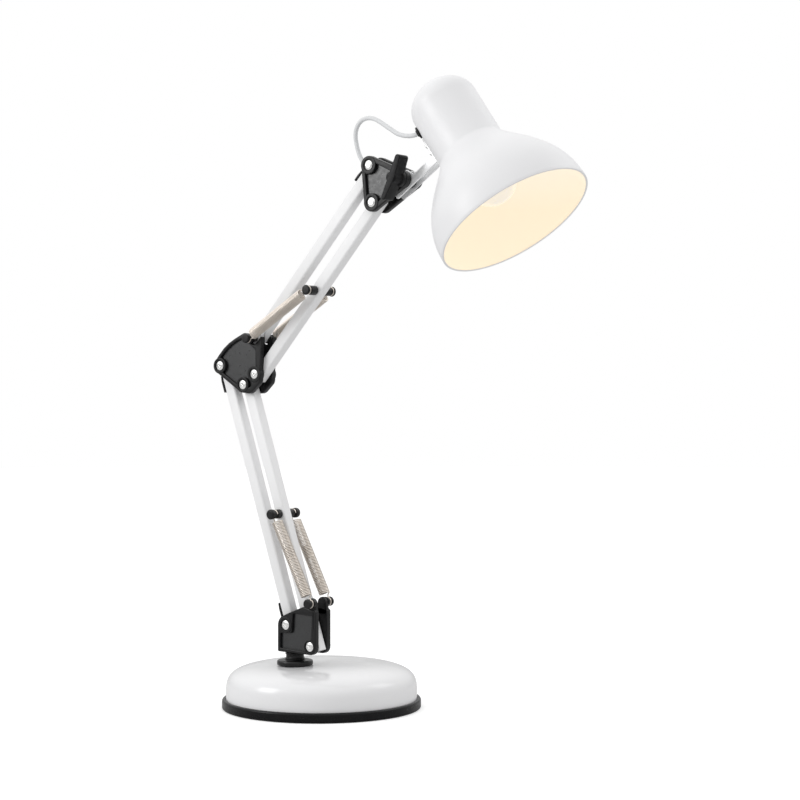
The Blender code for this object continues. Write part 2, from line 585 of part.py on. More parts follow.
def make_shade(head):
    profile = [(NECK_RADIUS * math.sin(t), DOME_START + (SHADE_LENGTH - DOME_START) * math.cos(t))
               for t in (math.pi / 2 * i / 4 for i in range(5))]
    profile += [(shade_radius(s), s) for s in (BOWL_DEPTH * (1 - i / 8) for i in range(9))]
    shade = turned("shade", profile, WHITE_SATIN, 36)
    wall = shade.modifiers.new("wall", "SOLIDIFY")
    wall.thickness = SHADE_WALL * MM
    wall.offset = -1.0
    up = Vector((SHADE_UP.x, 0.0, SHADE_UP.y))
    place(shade, head, on_shade(0.0), up)

    out = Vector((-SHADE_OUT.x, 0.0, -SHADE_OUT.y))
    fork_station = (TILT - MOUTH).dot(SHADE_UP)
    for i, offset in enumerate(FORK_SCREWS):
        start, end = on_shade(fork_station + offset, 26.0), on_shade(fork_station + offset, 34.0)
        combine(shade, rod(f"screw_hole_{i}", start, end, 1.9, STEEL, 12), "DIFFERENCE")
        screw = turned(f"fork_screw_{'low' if i == 0 else 'high'}",
                       [(0, 5.4), (1.4, 5.4), (2.7, 4.4), (2.7, 3.0), (1.5, 3.0), (1.5, -5.0), (0, -5.0)], STEEL, 16)
        place(smooth(screw), head, on_shade(fork_station + offset, NECK_RADIUS), out)

    side = out * math.cos(GROMMET_TURN) + Vector((0.0, -math.sin(GROMMET_TURN), 0.0))
    centre = on_shade(GROMMET_STATION)
    combine(shade, rod("grommet_hole", centre + side * 20, centre + side * 36, 4.0, STEEL, 20), "DIFFERENCE")
    grommet = turned("cord_grommet", [(0, 33.0), (4.4, 33.0), (5.6, 31.8), (5.6, 30.8), (3.6, 30.8), (3.6, 28.2),
                                      (0, 28.2)], BLACK_PLASTIC, 24)
    place(smooth(grommet), head, centre, side)

    holder = turned("lampholder", [(0, HOLDER_END), (17.0, HOLDER_END), (17.0, 114.0), (28.3, 114.0),
                                   (28.3, 112.0), (18.0, 112.0), (18.0, HOLDER_START), (0, HOLDER_START)],
                    BLACK_PLASTIC, 24)
    place(holder, head, on_shade(0.0), up)
    ball = BULB_TIP + BULB_RADIUS
    neck = 13.0
    start = math.acos(neck / BULB_RADIUS)
    profile = [(0, HOLDER_START - 0.4), (neck, HOLDER_START - 0.4)]
    profile += [(BULB_RADIUS * math.cos(t), ball + BULB_RADIUS * math.sin(t))
                for t in (start - (start + math.pi / 2) * i / 10 for i in range(11))]
    profile[-1] = (0, BULB_TIP)
    place(turned("bulb", profile, OPAL_GLASS, 24), head, on_shade(0.0), up)
    return fork_station, side


def fork_point(along, above):
    """An (x, z) measured from the tilt axis towards the neck, and up the neck."""
    return TILT + SHADE_OUT * along + SHADE_UP * above


def make_fork(head):
    """A folded steel strap: two legs on the tilt bolt and a web screwed to the neck."""
    to_neck = (MOUTH - TILT).dot(SHADE_OUT) - NECK_RADIUS
    web = to_neck - FORK_GAP_TO_NECK
    plate = web - FORK_PLATE
    corners = [(-FORK_BEHIND, FORK_BOTTOM, 2.0), (web, FORK_BOTTOM, 0.5), (web, FORK_WEB_TOP, 0.4),
               (plate, FORK_WEB_TOP, 0.4), (plate, FORK_STRIP_TOP, 1.0), (10.0, FORK_STRIP_TOP, 3.0),
               (6.5, FORK_EAR_TOP, 3.0), (-6.5, FORK_EAR_TOP, 3.5), (-FORK_BEHIND, FORK_STRIP_TOP - 1.5, 2.5)]
    leg = rounded([(*fork_point(along, above), radius) for along, above, radius in corners])
    fork = flat("shade_fork", [leg], -FORK_OUTER, FORK_OUTER, STEEL)
    cut = plate + 0.1  # just past the web's face, so that the cut leaves no sliver on it
    slot = [fork_point(-30.0, -20.0), fork_point(cut, -20.0), fork_point(cut, 20.0), fork_point(-30.0, 20.0)]
    combine(fork, flat("fork_slot", [slot], -FORK_INNER, FORK_INNER, STEEL), "DIFFERENCE")
    combine(fork, disc("fork_hole", TILT, 3.3, -20.0, 20.0, STEEL), "DIFFERENCE")
    for i, offset in enumerate(FORK_SCREWS):
        start, end = in_lamp(fork_point(web - 6, offset)), in_lamp(fork_point(web + 6, offset))
        local = Vector((SWIVEL_X, SWIVEL_Y, 0.0))
        combine(fork, rod(f"web_hole_{i}", start - local, end - local, 1.8, STEEL, 12), "DIFFERENCE")
    own(fork, head)
    block = disc("friction_block", TILT, 7.4, -3.4, 3.4, BLACK_PLASTIC, 24)
    combine(block, disc("block_bore", TILT, 3.3, -20.0, 20.0, STEEL), "DIFFERENCE")
    own(block, head)


# Cord from the upper tube to the neck

CORD_ROUTE = [  # (x, y, z) from the swivel axis, from the tube's bush to the neck's grommet
    (81.2, 0.0, 493.0), (78.3, 0.0, 497.0), (75.3, -0.2, 501.8), (73.0, -0.5, 507.8), (71.5, -1.0, 514.8),
    (71.6, -2.0, 521.0), (73.5, -3.0, 526.2), (77.2, -4.0, 530.7), (83.0, -5.0, 533.6), (90.4, -6.0, 534.0),
    (97.9, -7.0, 532.0), (105.5, -8.5, 528.2), (115.8, -10.5, 522.2), (126.0, -12.6, 516.6), (134.5, -14.0, 514.0),
    (141.0, -14.6, 513.2), (146.2, -14.3, 513.6),
]
CORD_SPLITS = (2, 9)  # where the cord passes from the tube to the head bracket, and from there to the head


def cord_piece(name, route, owner):
    curve = bpy.data.curves.new(name, "CURVE")
    curve.dimensions = "3D"
    curve.bevel_depth = CORD_RADIUS * MM
    curve.bevel_resolution = 2
    curve.use_fill_caps = True
    points = [Vector(p) + Vector((SWIVEL_X, SWIVEL_Y, 0.0)) for p in route]
    spline = curve.splines.new("POLY")
    spline.points.add(len(points) - 1)
    for point, co in zip(spline.points, points):
        point.co = (*(co * MM), 1.0)
    curve.materials.append(CORD_GREY)
    obj = bpy.data.objects.new(name, curve)
    parts.objects.link(obj)
    return place(obj, owner)


def make_cord(upper_rear, head_bracket, head):
    outward = Vector((-UPPER_UP.y, UPPER_UP.x))
    foot = HIGH_HEAD - UPPER_UP * 7.0
    start, end = foot + outward * (TUBE_WIDTH / 2 + 0.3), foot + outward * (TUBE_WIDTH / 2 + 3.3)
    bush = rod("cord_bush", in_lamp(start), in_lamp(end), 3.3, BLACK_PLASTIC, 16)
    place(bush, upper_rear)
    route = [Vector(point) for point in CORD_ROUTE]
    low, high = CORD_SPLITS
    after_low = route[low] + (route[low + 1] - route[low]).normalized() * 2.4
    after_high = route[high] + (route[high + 1] - route[high]).normalized() * 0.6
    cord_piece("head_cord_foot", route[:low + 1], upper_rear)
    cord_piece("head_cord_lower", [after_low] + route[low + 1:high + 1], head_bracket)
    cord_piece("head_cord_upper", [after_high] + route[high + 1:], head)


# The lamp

def make_lamp():
    base = body("base", None, 0.0, 0.0, 0.0)
    swivel = body("swivel", base, SWIVEL_X, SWIVEL_Y, 50.0)
    lower_rear = arm_body("lower_rear_link", swivel, REAR_FOOT)
    lower_front = arm_body("lower_front_link", swivel, FRONT_FOOT)
    lower_coils = arm_body("lower_springs", lower_front, LOWER_PIN)
    lower_hooks = arm_body("lower_spring_hooks", swivel, BASE_PEG)
    elbow = arm_body("elbow", lower_rear, REAR_KNEE)
    upper_rear = arm_body("upper_rear_link", elbow, HIGH_ELBOW)
    upper_front = arm_body("upper_front_link", elbow, LOW_ELBOW)
    upper_coils = arm_body("upper_springs", upper_front, UPPER_PIN)
    upper_hooks = arm_body("upper_spring_hooks", elbow, HIGH_ELBOW)
    head_bracket = arm_body("head_bracket", upper_rear, HIGH_HEAD)
    knob = arm_body("knob", head_bracket, TILT)
    head = arm_body("head", head_bracket, TILT)

    make_base(base)
    make_swivel(swivel)
    tube("lower_tube_rear", REAR_FOOT, LOWER_UP, LOWER_LENGTH, lower_rear)
    guard("lower_guard_bottom", REAR_FOOT, LOWER_UP, 6.0, 22.0, lower_rear)
    guard("lower_guard_top", REAR_FOOT, LOWER_UP, LOWER_LENGTH - 24.0, LOWER_LENGTH - 8.0, lower_rear)
    tube("lower_tube_front", FRONT_FOOT, LOWER_UP, LOWER_LENGTH, lower_front, LOWER_PIN)
    spring_pin("lower", LOWER_PIN, lower_front, LOWER_SPRING_Y, 19.8)
    springs("lower", LOWER_PIN, BASE_PEG, LOWER_SPRING_Y, LOWER_COIL_GAP, lower_coils, lower_hooks)
    make_elbow(elbow)
    tube("upper_tube_rear", HIGH_ELBOW, UPPER_UP, UPPER_LENGTH, upper_rear)
    guard("upper_guard", HIGH_ELBOW, UPPER_UP, UPPER_LENGTH - 22.0, UPPER_LENGTH - 11.0, upper_rear)
    tube("upper_tube_front", LOW_ELBOW, UPPER_UP, UPPER_LENGTH, upper_front, UPPER_PIN)
    spring_pin("upper", UPPER_PIN, upper_front, UPPER_SPRING_Y, 19.9)
    springs("upper", UPPER_PIN, HIGH_ELBOW, UPPER_SPRING_Y, UPPER_COIL_GAP, upper_coils, upper_hooks)
    make_head_bracket(head_bracket)
    make_knob(knob)
    make_shade(head)
    make_fork(head)
    make_cord(upper_rear, head_bracket, head)


make_lamp()
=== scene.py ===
"""Looks of the swing arm desk lamp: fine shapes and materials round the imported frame, a set and a camera.

Shapes are drawn in millimetres in the arm's own plane: x from the swivel axis, y from the arm's plane and
z from the floor. Pivots come from the frame's joints.
"""

import json
import math

import bmesh
import bpy
from mathutils import Matrix, Vector


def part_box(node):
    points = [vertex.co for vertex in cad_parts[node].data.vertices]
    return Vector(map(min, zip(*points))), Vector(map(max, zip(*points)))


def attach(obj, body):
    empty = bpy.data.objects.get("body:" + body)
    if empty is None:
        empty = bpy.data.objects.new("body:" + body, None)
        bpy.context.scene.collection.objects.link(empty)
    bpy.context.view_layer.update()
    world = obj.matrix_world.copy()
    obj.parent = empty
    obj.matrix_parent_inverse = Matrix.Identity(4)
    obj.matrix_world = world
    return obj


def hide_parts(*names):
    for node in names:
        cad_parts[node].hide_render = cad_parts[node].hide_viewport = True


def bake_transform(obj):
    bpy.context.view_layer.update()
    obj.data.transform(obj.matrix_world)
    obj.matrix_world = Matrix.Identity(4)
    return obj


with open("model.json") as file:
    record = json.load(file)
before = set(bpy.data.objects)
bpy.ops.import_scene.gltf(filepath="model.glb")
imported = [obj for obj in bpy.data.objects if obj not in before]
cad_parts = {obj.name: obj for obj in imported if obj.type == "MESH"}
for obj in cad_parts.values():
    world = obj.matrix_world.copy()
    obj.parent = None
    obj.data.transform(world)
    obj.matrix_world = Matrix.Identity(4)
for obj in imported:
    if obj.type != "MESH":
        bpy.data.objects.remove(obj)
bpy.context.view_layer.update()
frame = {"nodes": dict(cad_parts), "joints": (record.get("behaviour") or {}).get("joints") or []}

MM = 0.001
JOINT = {joint["name"]: Vector(joint["pos_m"]) / MM for joint in frame["joints"]}
ARM_ORIGIN = Vector((JOINT["swivel_turn"].x, JOINT["swivel_turn"].y, 0.0))
TO_ARM = Matrix.Translation(ARM_ORIGIN * MM)


def pivot(joint):
    """A joint's place in the arm's plane, as (x, z)."""
    place = JOINT[joint] - ARM_ORIGIN
    return Vector((place.x, place.z))


REAR_FOOT, FRONT_FOOT = pivot("lower_arm"), pivot("lower_arm_front")
REAR_KNEE, LOW_ELBOW, HIGH_ELBOW = pivot("elbow_level"), pivot("upper_arm_front"), pivot("upper_arm")
HIGH_HEAD, TILT = pivot("head_level"), pivot("head_tilt")
BASE_PEG = pivot("lower_hook_turn")
LOWER_PIN, UPPER_PIN = pivot("lower_spring_turn"), pivot("upper_spring_turn")
FRONT_KNEE = FRONT_FOOT + REAR_KNEE - REAR_FOOT
LOW_HEAD = LOW_ELBOW + HIGH_HEAD - HIGH_ELBOW
LOWER_UP = (REAR_KNEE - REAR_FOOT).normalized()
UPPER_UP = (HIGH_HEAD - HIGH_ELBOW).normalized()
SIDES = (("front", -1.0), ("back", 1.0))


# Camera and set

CAMERA_PLACE = (1.1072, -1.3812, 0.2879)
CAMERA_TURN, CAMERA_PITCH, CAMERA_LENS = math.radians(36.369), math.radians(0.118), 85.97
WHITE = (1.0, 1.0, 1.0, 1.0)
FILL = 0.82
# What shiny parts mirror brightens from ROOM_LOW to ROOM_HIGH as the ray's upward part goes from ROOM_FROM
# to ROOM_TO.
ROOM_FROM, ROOM_TO, ROOM_LOW, ROOM_HIGH = -0.15, 0.75, 0.14, 1.6
FLOOR_RADIUS, FLOOR_GAP, FLOOR_WHITE, FLOOR_GLOW, FLOOR_BOUNCE = 6.0, 0.0002, 0.85, 0.42, 0.7


def make_camera():
    camera = bpy.data.objects.new("camera", bpy.data.cameras.new("camera"))
    camera.data.lens = CAMERA_LENS
    camera.location = CAMERA_PLACE
    camera.rotation_euler = (math.pi / 2 - CAMERA_PITCH, 0.0, CAMERA_TURN)
    bpy.context.scene.collection.objects.link(camera)
    bpy.context.scene.camera = camera


def area_light(name, place, target, width, height, watts):
    light = bpy.data.lights.new(name, "AREA")
    light.shape = "RECTANGLE"
    light.size, light.size_y = width, height
    light.energy = watts
    obj = bpy.data.objects.new(name, light)
    obj.location = place
    obj.rotation_euler = (Vector(target) - Vector(place)).to_track_quat("-Z", "Y").to_euler()
    bpy.context.scene.collection.objects.link(obj)


def mix_by(tree, ray, off, on):
    """The last shader for this kind of ray and the one before it for all others."""
    mix, path = tree.nodes.new("ShaderNodeMixShader"), tree.nodes.new("ShaderNodeLightPath")
    tree.links.new(path.outputs[ray], mix.inputs["Fac"])
    tree.links.new(off.outputs[0], mix.inputs[1])
    tree.links.new(on.outputs[0], mix.inputs[2])
    return mix


def make_world(scene):
    """White behind the lamp, an even fill on it, and a darker room below eye level for what shines."""
    world = bpy.data.worlds.new("studio")
    scene.world = world
    world.use_nodes = True
    nodes, links = world.node_tree.nodes, world.node_tree.links
    direction = nodes.new("ShaderNodeTexCoord")
    split = nodes.new("ShaderNodeSeparateXYZ")
    room = nodes.new("ShaderNodeMapRange")
    links.new(direction.outputs["Generated"], split.inputs[0])
    links.new(split.outputs["Z"], room.inputs["Value"])
    ends = {"From Min": ROOM_FROM, "From Max": ROOM_TO, "To Min": ROOM_LOW, "To Max": ROOM_HIGH}
    for socket, value in ends.items():
        room.inputs[socket].default_value = value
    fill = nodes["Background"]
    shine = nodes.new("ShaderNodeBackground")
    backdrop = nodes.new("ShaderNodeBackground")
    for background in (fill, shine, backdrop):
        background.inputs["Color"].default_value = WHITE
    fill.inputs["Strength"].default_value = FILL
    links.new(room.outputs[0], shine.inputs["Strength"])
    lit = mix_by(world.node_tree, "Is Glossy Ray", fill, shine)
    seen = mix_by(world.node_tree, "Is Camera Ray", lit, backdrop)
    links.new(seen.outputs[0], nodes["World Output"].inputs["Surface"])


def make_floor(scene):
    """A white table: overexposed to the camera but for the contact shadow, and throwing little light back."""
    work = bmesh.new()
    bmesh.ops.create_circle(work, cap_ends=True, segments=96, radius=FLOOR_RADIUS)
    mesh = bpy.data.meshes.new("floor")
    work.to_mesh(mesh)
    work.free()
    floor = bpy.data.objects.new("floor", mesh)
    scene.collection.objects.link(floor)
    floor.location.z = -FLOOR_GAP
    material = bpy.data.materials.new("floor_white")
    material.use_nodes = True
    tree = material.node_tree
    seen, bounced = tree.nodes["Principled BSDF"], tree.nodes.new("ShaderNodeBsdfDiffuse")
    seen.inputs["Base Color"].default_value = (FLOOR_WHITE, FLOOR_WHITE, FLOOR_WHITE, 1.0)
    seen.inputs["Roughness"].default_value = 1.0
    seen.inputs["Specular IOR Level"].default_value = 0.0
    seen.inputs["Emission Color"].default_value = WHITE
    seen.inputs["Emission Strength"].default_value = FLOOR_GLOW
    bounced.inputs["Color"].default_value = (FLOOR_BOUNCE, FLOOR_BOUNCE, FLOOR_BOUNCE, 1.0)
    mix = mix_by(tree, "Is Camera Ray", bounced, seen)
    tree.links.new(mix.outputs[0], tree.nodes["Material Output"].inputs["Surface"])
    mesh.materials.append(material)


def make_set():
    scene = bpy.context.scene
    scene.view_settings.view_transform = "Standard"
    make_world(scene)
    make_floor(scene)
    area_light("key", (-0.95, -1.45, 0.95), (0.02, -0.03, 0.3), width=0.8, height=0.9, watts=10.0)
    area_light("back", (1.1, 1.0, 1.3), (0.05, 0.0, 0.3), width=0.8, height=0.8, watts=3.0)


# Materials

NOISE_LOW, NOISE_HIGH = 0.3, 0.7  # most of a noise lies between these


class Look:
    """A Principled material with helpers for its texture nodes."""

    def __init__(self, name, colour, roughness, metallic=0.0, **constants):
        self.material = bpy.data.materials.new(name)
        self.material.use_nodes = True
        self.nodes = self.material.node_tree.nodes
        self.shader = self.nodes["Principled BSDF"]
        self.put("Base Color", (*colour, 1.0))
        self.put("Roughness", roughness)
        self.put("Metallic", metallic)
        for socket, value in constants.items():
            self.put(socket.replace("_", " "), value)
        self.coordinates = self.node("ShaderNodeTexCoord").outputs["Object"]

    def node(self, kind, **inputs):
        made = self.nodes.new(kind)
        for socket, value in inputs.items():
            socket = socket.replace("_", " ")
            if isinstance(value, bpy.types.NodeSocket):
                self.link(value, made.inputs[socket])
            else:
                made.inputs[socket].default_value = value
        return made

    def link(self, start, end):
        self.material.node_tree.links.new(start, end)

    def put(self, socket, value):
        self.shader.inputs[socket].default_value = value

    def noise(self, scale, detail, stretch=None):
        """Noise over the object, scale being its features per metre."""
        vector = self.coordinates
        if stretch:
            vector = self.node("ShaderNodeMapping", Vector=vector, Scale=stretch).outputs[0]
        return self.node("ShaderNodeTexNoise", Vector=vector, Scale=scale, Detail=detail).outputs[0]

    def spread(self, source, low, high):
        """Stretches the middle of a noise to this range."""
        return self.node("ShaderNodeMapRange", Value=source, From_Min=NOISE_LOW, From_Max=NOISE_HIGH,
                         To_Min=low, To_Max=high).outputs[0]

    def height(self, low, high):
        """0 below the low height and 1 above the high one, in metres."""
        z = self.node("ShaderNodeSeparateXYZ", Vector=self.coordinates).outputs["Z"]
        return self.node("ShaderNodeMapRange", Value=z, From_Min=low, From_Max=high).outputs[0]

    def vary_roughness(self, source, low, high):
        self.link(self.spread(source, low, high), self.shader.inputs["Roughness"])

    def vary_colour(self, source, dark, light, socket="Base Color"):
        ramp = self.node("ShaderNodeValToRGB", Fac=source)
        first, last = ramp.color_ramp.elements
        first.position, first.color = NOISE_LOW, (*dark, 1.0)
        last.position, last.color = NOISE_HIGH, (*light, 1.0)
        self.link(ramp.outputs[0], self.shader.inputs[socket])

    def bump(self, source, height, strength):
        """Fine relief of this height in millimetres."""
        bump = self.node("ShaderNodeBump", Height=source, Strength=strength, Distance=height * MM)
        self.link(bump.outputs[0], self.shader.inputs["Normal"])


def white_gloss():
    look = Look("white_gloss", (0.83, 0.83, 0.84), 0.2, Coat_Weight=0.2, Coat_Roughness=0.12)
    look.vary_roughness(look.noise(45.0, 5.0), 0.17, 0.25)
    look.bump(look.noise(160.0, 2.0), 0.02, 0.2)
    return look.material


def white_paint(name, colour, low, high):
    """Satin paint with a fine orange peel."""
    look = Look(name, colour, low)
    look.vary_roughness(look.noise(70.0, 4.0), low, high)
    look.bump(look.noise(900.0, 2.0), 0.025, 0.5)
    return look.material


def shade_inside():
    """Inside paint: white tinted warm, with a painted glow of the lamp's light as emission; the painted glow
    is paler high up beside the bulb than low in the bell.
    """
    glow = (1.0, 0.86, 0.66, 1.0)
    # Painted light: the warm base tint and the emission stand in for the bulb lighting the inside of the
    # shade.
    look = Look("shade_inside", (0.86, 0.8, 0.68), 0.6, Emission_Color=glow, Emission_Strength=0.3)
    # Painted light: the glow's colour grades from warm low in the bell to paler high up beside the bulb.
    look.vary_colour(look.height(0.43, 0.5), (1.0, 0.855, 0.65), (1.0, 0.95, 0.86), "Emission Color")
    look.bump(look.noise(900.0, 2.0), 0.02, 0.4)
    return look.material


def black_plastic(name="black_plastic", colour=(0.0045, 0.0045, 0.005), roughness=0.36, shine=0.32):
    """Glass-filled moulding: a fine grain, and paler where it is scuffed."""
    look = Look(name, colour, roughness, Specular_IOR_Level=shine)
    dark, light = (tuple(c * share for c in colour) for share in (0.8, 1.35))
    look.vary_colour(look.noise(130.0, 5.0), dark, light)
    look.vary_roughness(look.noise(320.0, 4.0), roughness - 0.06, roughness + 0.08)
    look.bump(look.noise(2200.0, 2.0), 0.012, 0.5)
    return look.material


def bright_steel():
    look = Look("bright_steel", (0.86, 0.86, 0.85), 0.24, 1.0)
    look.vary_roughness(look.noise(600.0, 3.0), 0.16, 0.3)
    look.bump(look.noise(700.0, 2.0), 0.006, 0.5)
    return look.material


def brushed_steel():
    """Pale plated strip with fine level lines."""
    look = Look("brushed_steel", (0.88, 0.885, 0.89), 0.42, 0.4)
    lines = look.noise(60.0, 4.0, stretch=(1.0, 12.0, 6.0))
    look.vary_colour(lines, (0.85, 0.855, 0.86), (0.9, 0.905, 0.91))
    look.vary_roughness(lines, 0.38, 0.48)
    return look.material


def spring_wire():
    look = Look("spring_wire", (0.7, 0.645, 0.585), 0.26, 1.0)
    look.vary_colour(look.noise(120.0, 3.0), (0.66, 0.61, 0.55), (0.74, 0.68, 0.62))
    look.vary_roughness(look.noise(200.0, 3.0), 0.28, 0.38)
    return look.material


def rubber():
    look = Look("rubber_pad", (0.028, 0.028, 0.029), 0.8)
    look.vary_colour(look.noise(200.0, 4.0), (0.022, 0.022, 0.023), (0.04, 0.04, 0.04))
    look.bump(look.noise(1400.0, 3.0), 0.08, 0.8)
    return look.material


def cast_iron():
    look = Look("cast_iron", (0.1, 0.1, 0.1), 0.7, 0.6)
    look.vary_colour(look.noise(300.0, 5.0), (0.07, 0.065, 0.06), (0.14, 0.135, 0.13))
    look.bump(look.noise(500.0, 5.0), 0.3, 0.8)
    return look.material


def zinc_plate():
    look = Look("zinc_plate", (0.55, 0.56, 0.57), 0.35, 1.0)
    look.vary_roughness(look.noise(150.0, 5.0), 0.28, 0.45)
    return look.material


def cord_sheath():
    look = Look("cord_sheath", (0.7, 0.71, 0.72), 0.42)
    look.vary_roughness(look.noise(400.0, 3.0), 0.36, 0.5)
    look.bump(look.noise(900.0, 2.0), 0.005, 0.5)
    return look.material


def opal_glass():
    glow = (1.0, 0.88, 0.72, 1.0)
    look = Look("opal_glass", (0.82, 0.78, 0.7), 0.25, Emission_Color=glow, Emission_Strength=0.34)
    look.vary_roughness(look.noise(200.0, 2.0), 0.2, 0.3)
    return look.material


def make_looks():
    return {
        "gloss": white_gloss(),
        "paint": white_paint("white_paint", (0.84, 0.84, 0.845), 0.3, 0.4),
        "shade": white_paint("shade_paint", (0.84, 0.84, 0.85), 0.34, 0.44),
        "inside": shade_inside(),
        "black": black_plastic(),
        "web": black_plastic("web_plastic", (0.0045, 0.005, 0.006), 0.32, 0.8),
        "knob": black_plastic("knob_plastic", (0.005, 0.005, 0.0055), 0.4, 0.2),
        "rim": black_plastic("rim_plastic", (0.002, 0.002, 0.0025), 0.3, 0.2),
        "bright": bright_steel(),
        "fork": brushed_steel(),
        "wire": spring_wire(),
        "rubber": rubber(),
        "iron": cast_iron(),
        "zinc": zinc_plate(),
        "cord": cord_sheath(),
        "glass": opal_glass(),
    }


LOOK = make_looks()


# Building blocks

WELD = 2e-6  # metres
ARC_STEP = math.radians(9)
LEAST_ROUNDING, SIDE_SHARE = 0.02, 0.45  # a corner's rounding takes at most this share of each side


def temporary(name, work):
    """Turns a bmesh into an object in the scene."""
    mesh = bpy.data.meshes.new(name)
    bmesh.ops.recalc_face_normals(work, faces=work.faces)
    work.to_mesh(mesh)
    work.free()
    obj = bpy.data.objects.new(name, mesh)
    bpy.context.scene.collection.objects.link(obj)
    return obj


def realised(obj):
    """The object's evaluated mesh as a plain object in its place, with its seams welded."""
    bpy.context.view_layer.update()
    graph = bpy.context.evaluated_depsgraph_get()
    mesh = bpy.data.meshes.new_from_object(obj.evaluated_get(graph))
    mesh.transform(obj.matrix_world)
    name = obj.name
    bpy.data.objects.remove(obj, do_unlink=True)
    work = bmesh.new()
    work.from_mesh(mesh)
    bmesh.ops.remove_doubles(work, verts=work.verts, dist=WELD)
    bpy.data.meshes.remove(mesh)
    return temporary(name, work)


def combined(obj, others, operation="UNION"):
    """The object with the others joined to it or cut from it. They are used up."""
    for other in others:
        modifier = obj.modifiers.new(operation, "BOOLEAN")
        modifier.operation = operation
        modifier.solver = "EXACT"
        modifier.object = other
    made = realised(obj)
    for other in others:
        bpy.data.objects.remove(other, do_unlink=True)
    return made


def finished(obj, look, body, slot, *nodes, sharp=38.0, arm=True):
    """Gives a shape its material and its body, and hides the CAD nodes that it stands for."""
    if arm:
        obj.data.transform(TO_ARM)
    obj.data.materials.clear()
    obj.data.materials.append(LOOK[look])
    obj.data.shade_smooth()
    obj.data.set_sharp_from_angle(angle=math.radians(sharp))
    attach(obj, body)
    if nodes:
        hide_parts(*nodes)


def joined(name, objects):
    """One object of several closed shapes that reach into each other."""
    work = bmesh.new()
    for obj in objects:
        work.from_mesh(obj.data)
        bpy.data.objects.remove(obj, do_unlink=True)
    return temporary(name, work)


def mirrored(obj, name):
    """A copy on the other side of the arm's plane."""
    mesh = obj.data.copy()
    mesh.transform(Matrix.Scale(-1.0, 4, (0, 1, 0)))
    mesh.flip_normals()
    made = bpy.data.objects.new(name, mesh)
    bpy.context.scene.collection.objects.link(made)
    return made


def lathe(name, profile, segments, ring=False):
    """Turns a line of (radius, height) points about Z. A ring is closed from its last point to its first."""
    work = bmesh.new()
    rows = []
    for radius, height in profile:
        if radius <= 0.0:
            rows.append([work.verts.new((0.0, 0.0, height * MM))])
            continue
        turns = [2 * math.pi * i / segments for i in range(segments)]
        rows.append([work.verts.new((radius * MM * math.cos(t), radius * MM * math.sin(t), height * MM))
                     for t in turns])
    for upper, lower in zip(rows, rows[1:] + rows[:1] if ring else rows[1:]):
        for i in range(segments):
            j = (i + 1) % segments
            corners = [row[k % len(row)] for row, k in ((upper, i), (lower, i), (lower, j), (upper, j))]
            work.faces.new(list(dict.fromkeys(corners)))
    return temporary(name, work)


def softened(profile, default=0.5, steps=4):
    """A turned profile with rounded corners. A point is (radius, height) or (radius, height, rounding)."""
    points = [Vector(p[:2]) for p in profile]
    made = [points[0]]
    for i in range(1, len(points) - 1):
        here = points[i]
        before, after = points[i - 1] - here, points[i + 1] - here
        rounding = profile[i][2] if len(profile[i]) > 2 else default
        reach = min(rounding, before.length * SIDE_SHARE, after.length * SIDE_SHARE)
        start, end = here + before.normalized() * reach, here + after.normalized() * reach
        if reach < LEAST_ROUNDING:
            made.append(here)
            continue
        for step in range(steps + 1):
            t = step / steps
            made.append(start * (1 - t) ** 2 + here * 2 * t * (1 - t) + end * t ** 2)
    return made + [points[-1]]


def both_ways(half):
    """A turned profile that is the same above and below its middle, from its upper half."""
    return half + [(radius, -height, *rounding) for radius, height, *rounding in reversed(half)]


def aimed(obj, place, direction):
    """Stands an upright shape at a place in metres, with its top facing this way."""
    turn = Vector((0, 0, 1)).rotation_difference(direction).to_matrix().to_4x4()
    obj.data.transform(Matrix.Translation(place) @ turn)
    return obj


def across(obj, point, side=-1.0):
    """Lays a turned shape across the arm's plane at this pivot, with its top to the front or the back."""
    return aimed(obj, Vector((point.x, 0, point.y)) * MM, Vector((0, side, 0)))


def arc(centre, radius, start, sweep):
    """Points along an arc, with both its ends."""
    steps = max(1, math.ceil(abs(sweep) / ARC_STEP))
    turns = [start + sweep * i / steps for i in range(steps + 1)]
    return [Vector((centre[0] + radius * math.cos(t), centre[1] + radius * math.sin(t))) for t in turns]


def belt(discs, grow=0.0):
    """The line of a belt drawn anticlockwise round discs, (x, z, radius). A negative radius is passed
    inside."""
    count = len(discs)
    normals = []
    for i in range(count):
        here, there = discs[i], discs[(i + 1) % count]
        along = Vector((there[0] - here[0], there[1] - here[1]))
        lean = math.acos(max(-1.0, min(1.0, (here[2] - there[2]) / along.length)))
        normals.append(math.atan2(along.y, along.x) - lean)
    outline = []
    for i, (x, z, radius) in enumerate(discs):
        sweep = (normals[i] - normals[i - 1]) % (2 * math.pi)
        if radius + grow < 0.0 or sweep > 1.9 * math.pi:  # passed inside, or straight on but for rounding
            sweep -= 2 * math.pi
        outline += arc((x, z), radius + grow, normals[i - 1], sweep)
    return outline


def rounded(corners):
    """The line of a polygon with each corner, (x, z, radius), rounded."""
    outline = []
    for i, (x, z, radius) in enumerate(corners):
        here = Vector((x, z))
        before = (Vector(corners[i - 1][:2]) - here).normalized()
        after = (Vector(corners[(i + 1) % len(corners)][:2]) - here).normalized()
        half = before.angle(after) / 2
        reach = radius / math.tan(half)
        centre = here + (before + after).normalized() * (radius / math.sin(half))
        start, end = here + before * reach - centre, here + after * reach - centre
        first = math.atan2(start.y, start.x)
        sweep = (math.atan2(end.y, end.x) - first + math.pi) % (2 * math.pi) - math.pi
        outline += arc(centre, radius, first, sweep)
    return outline


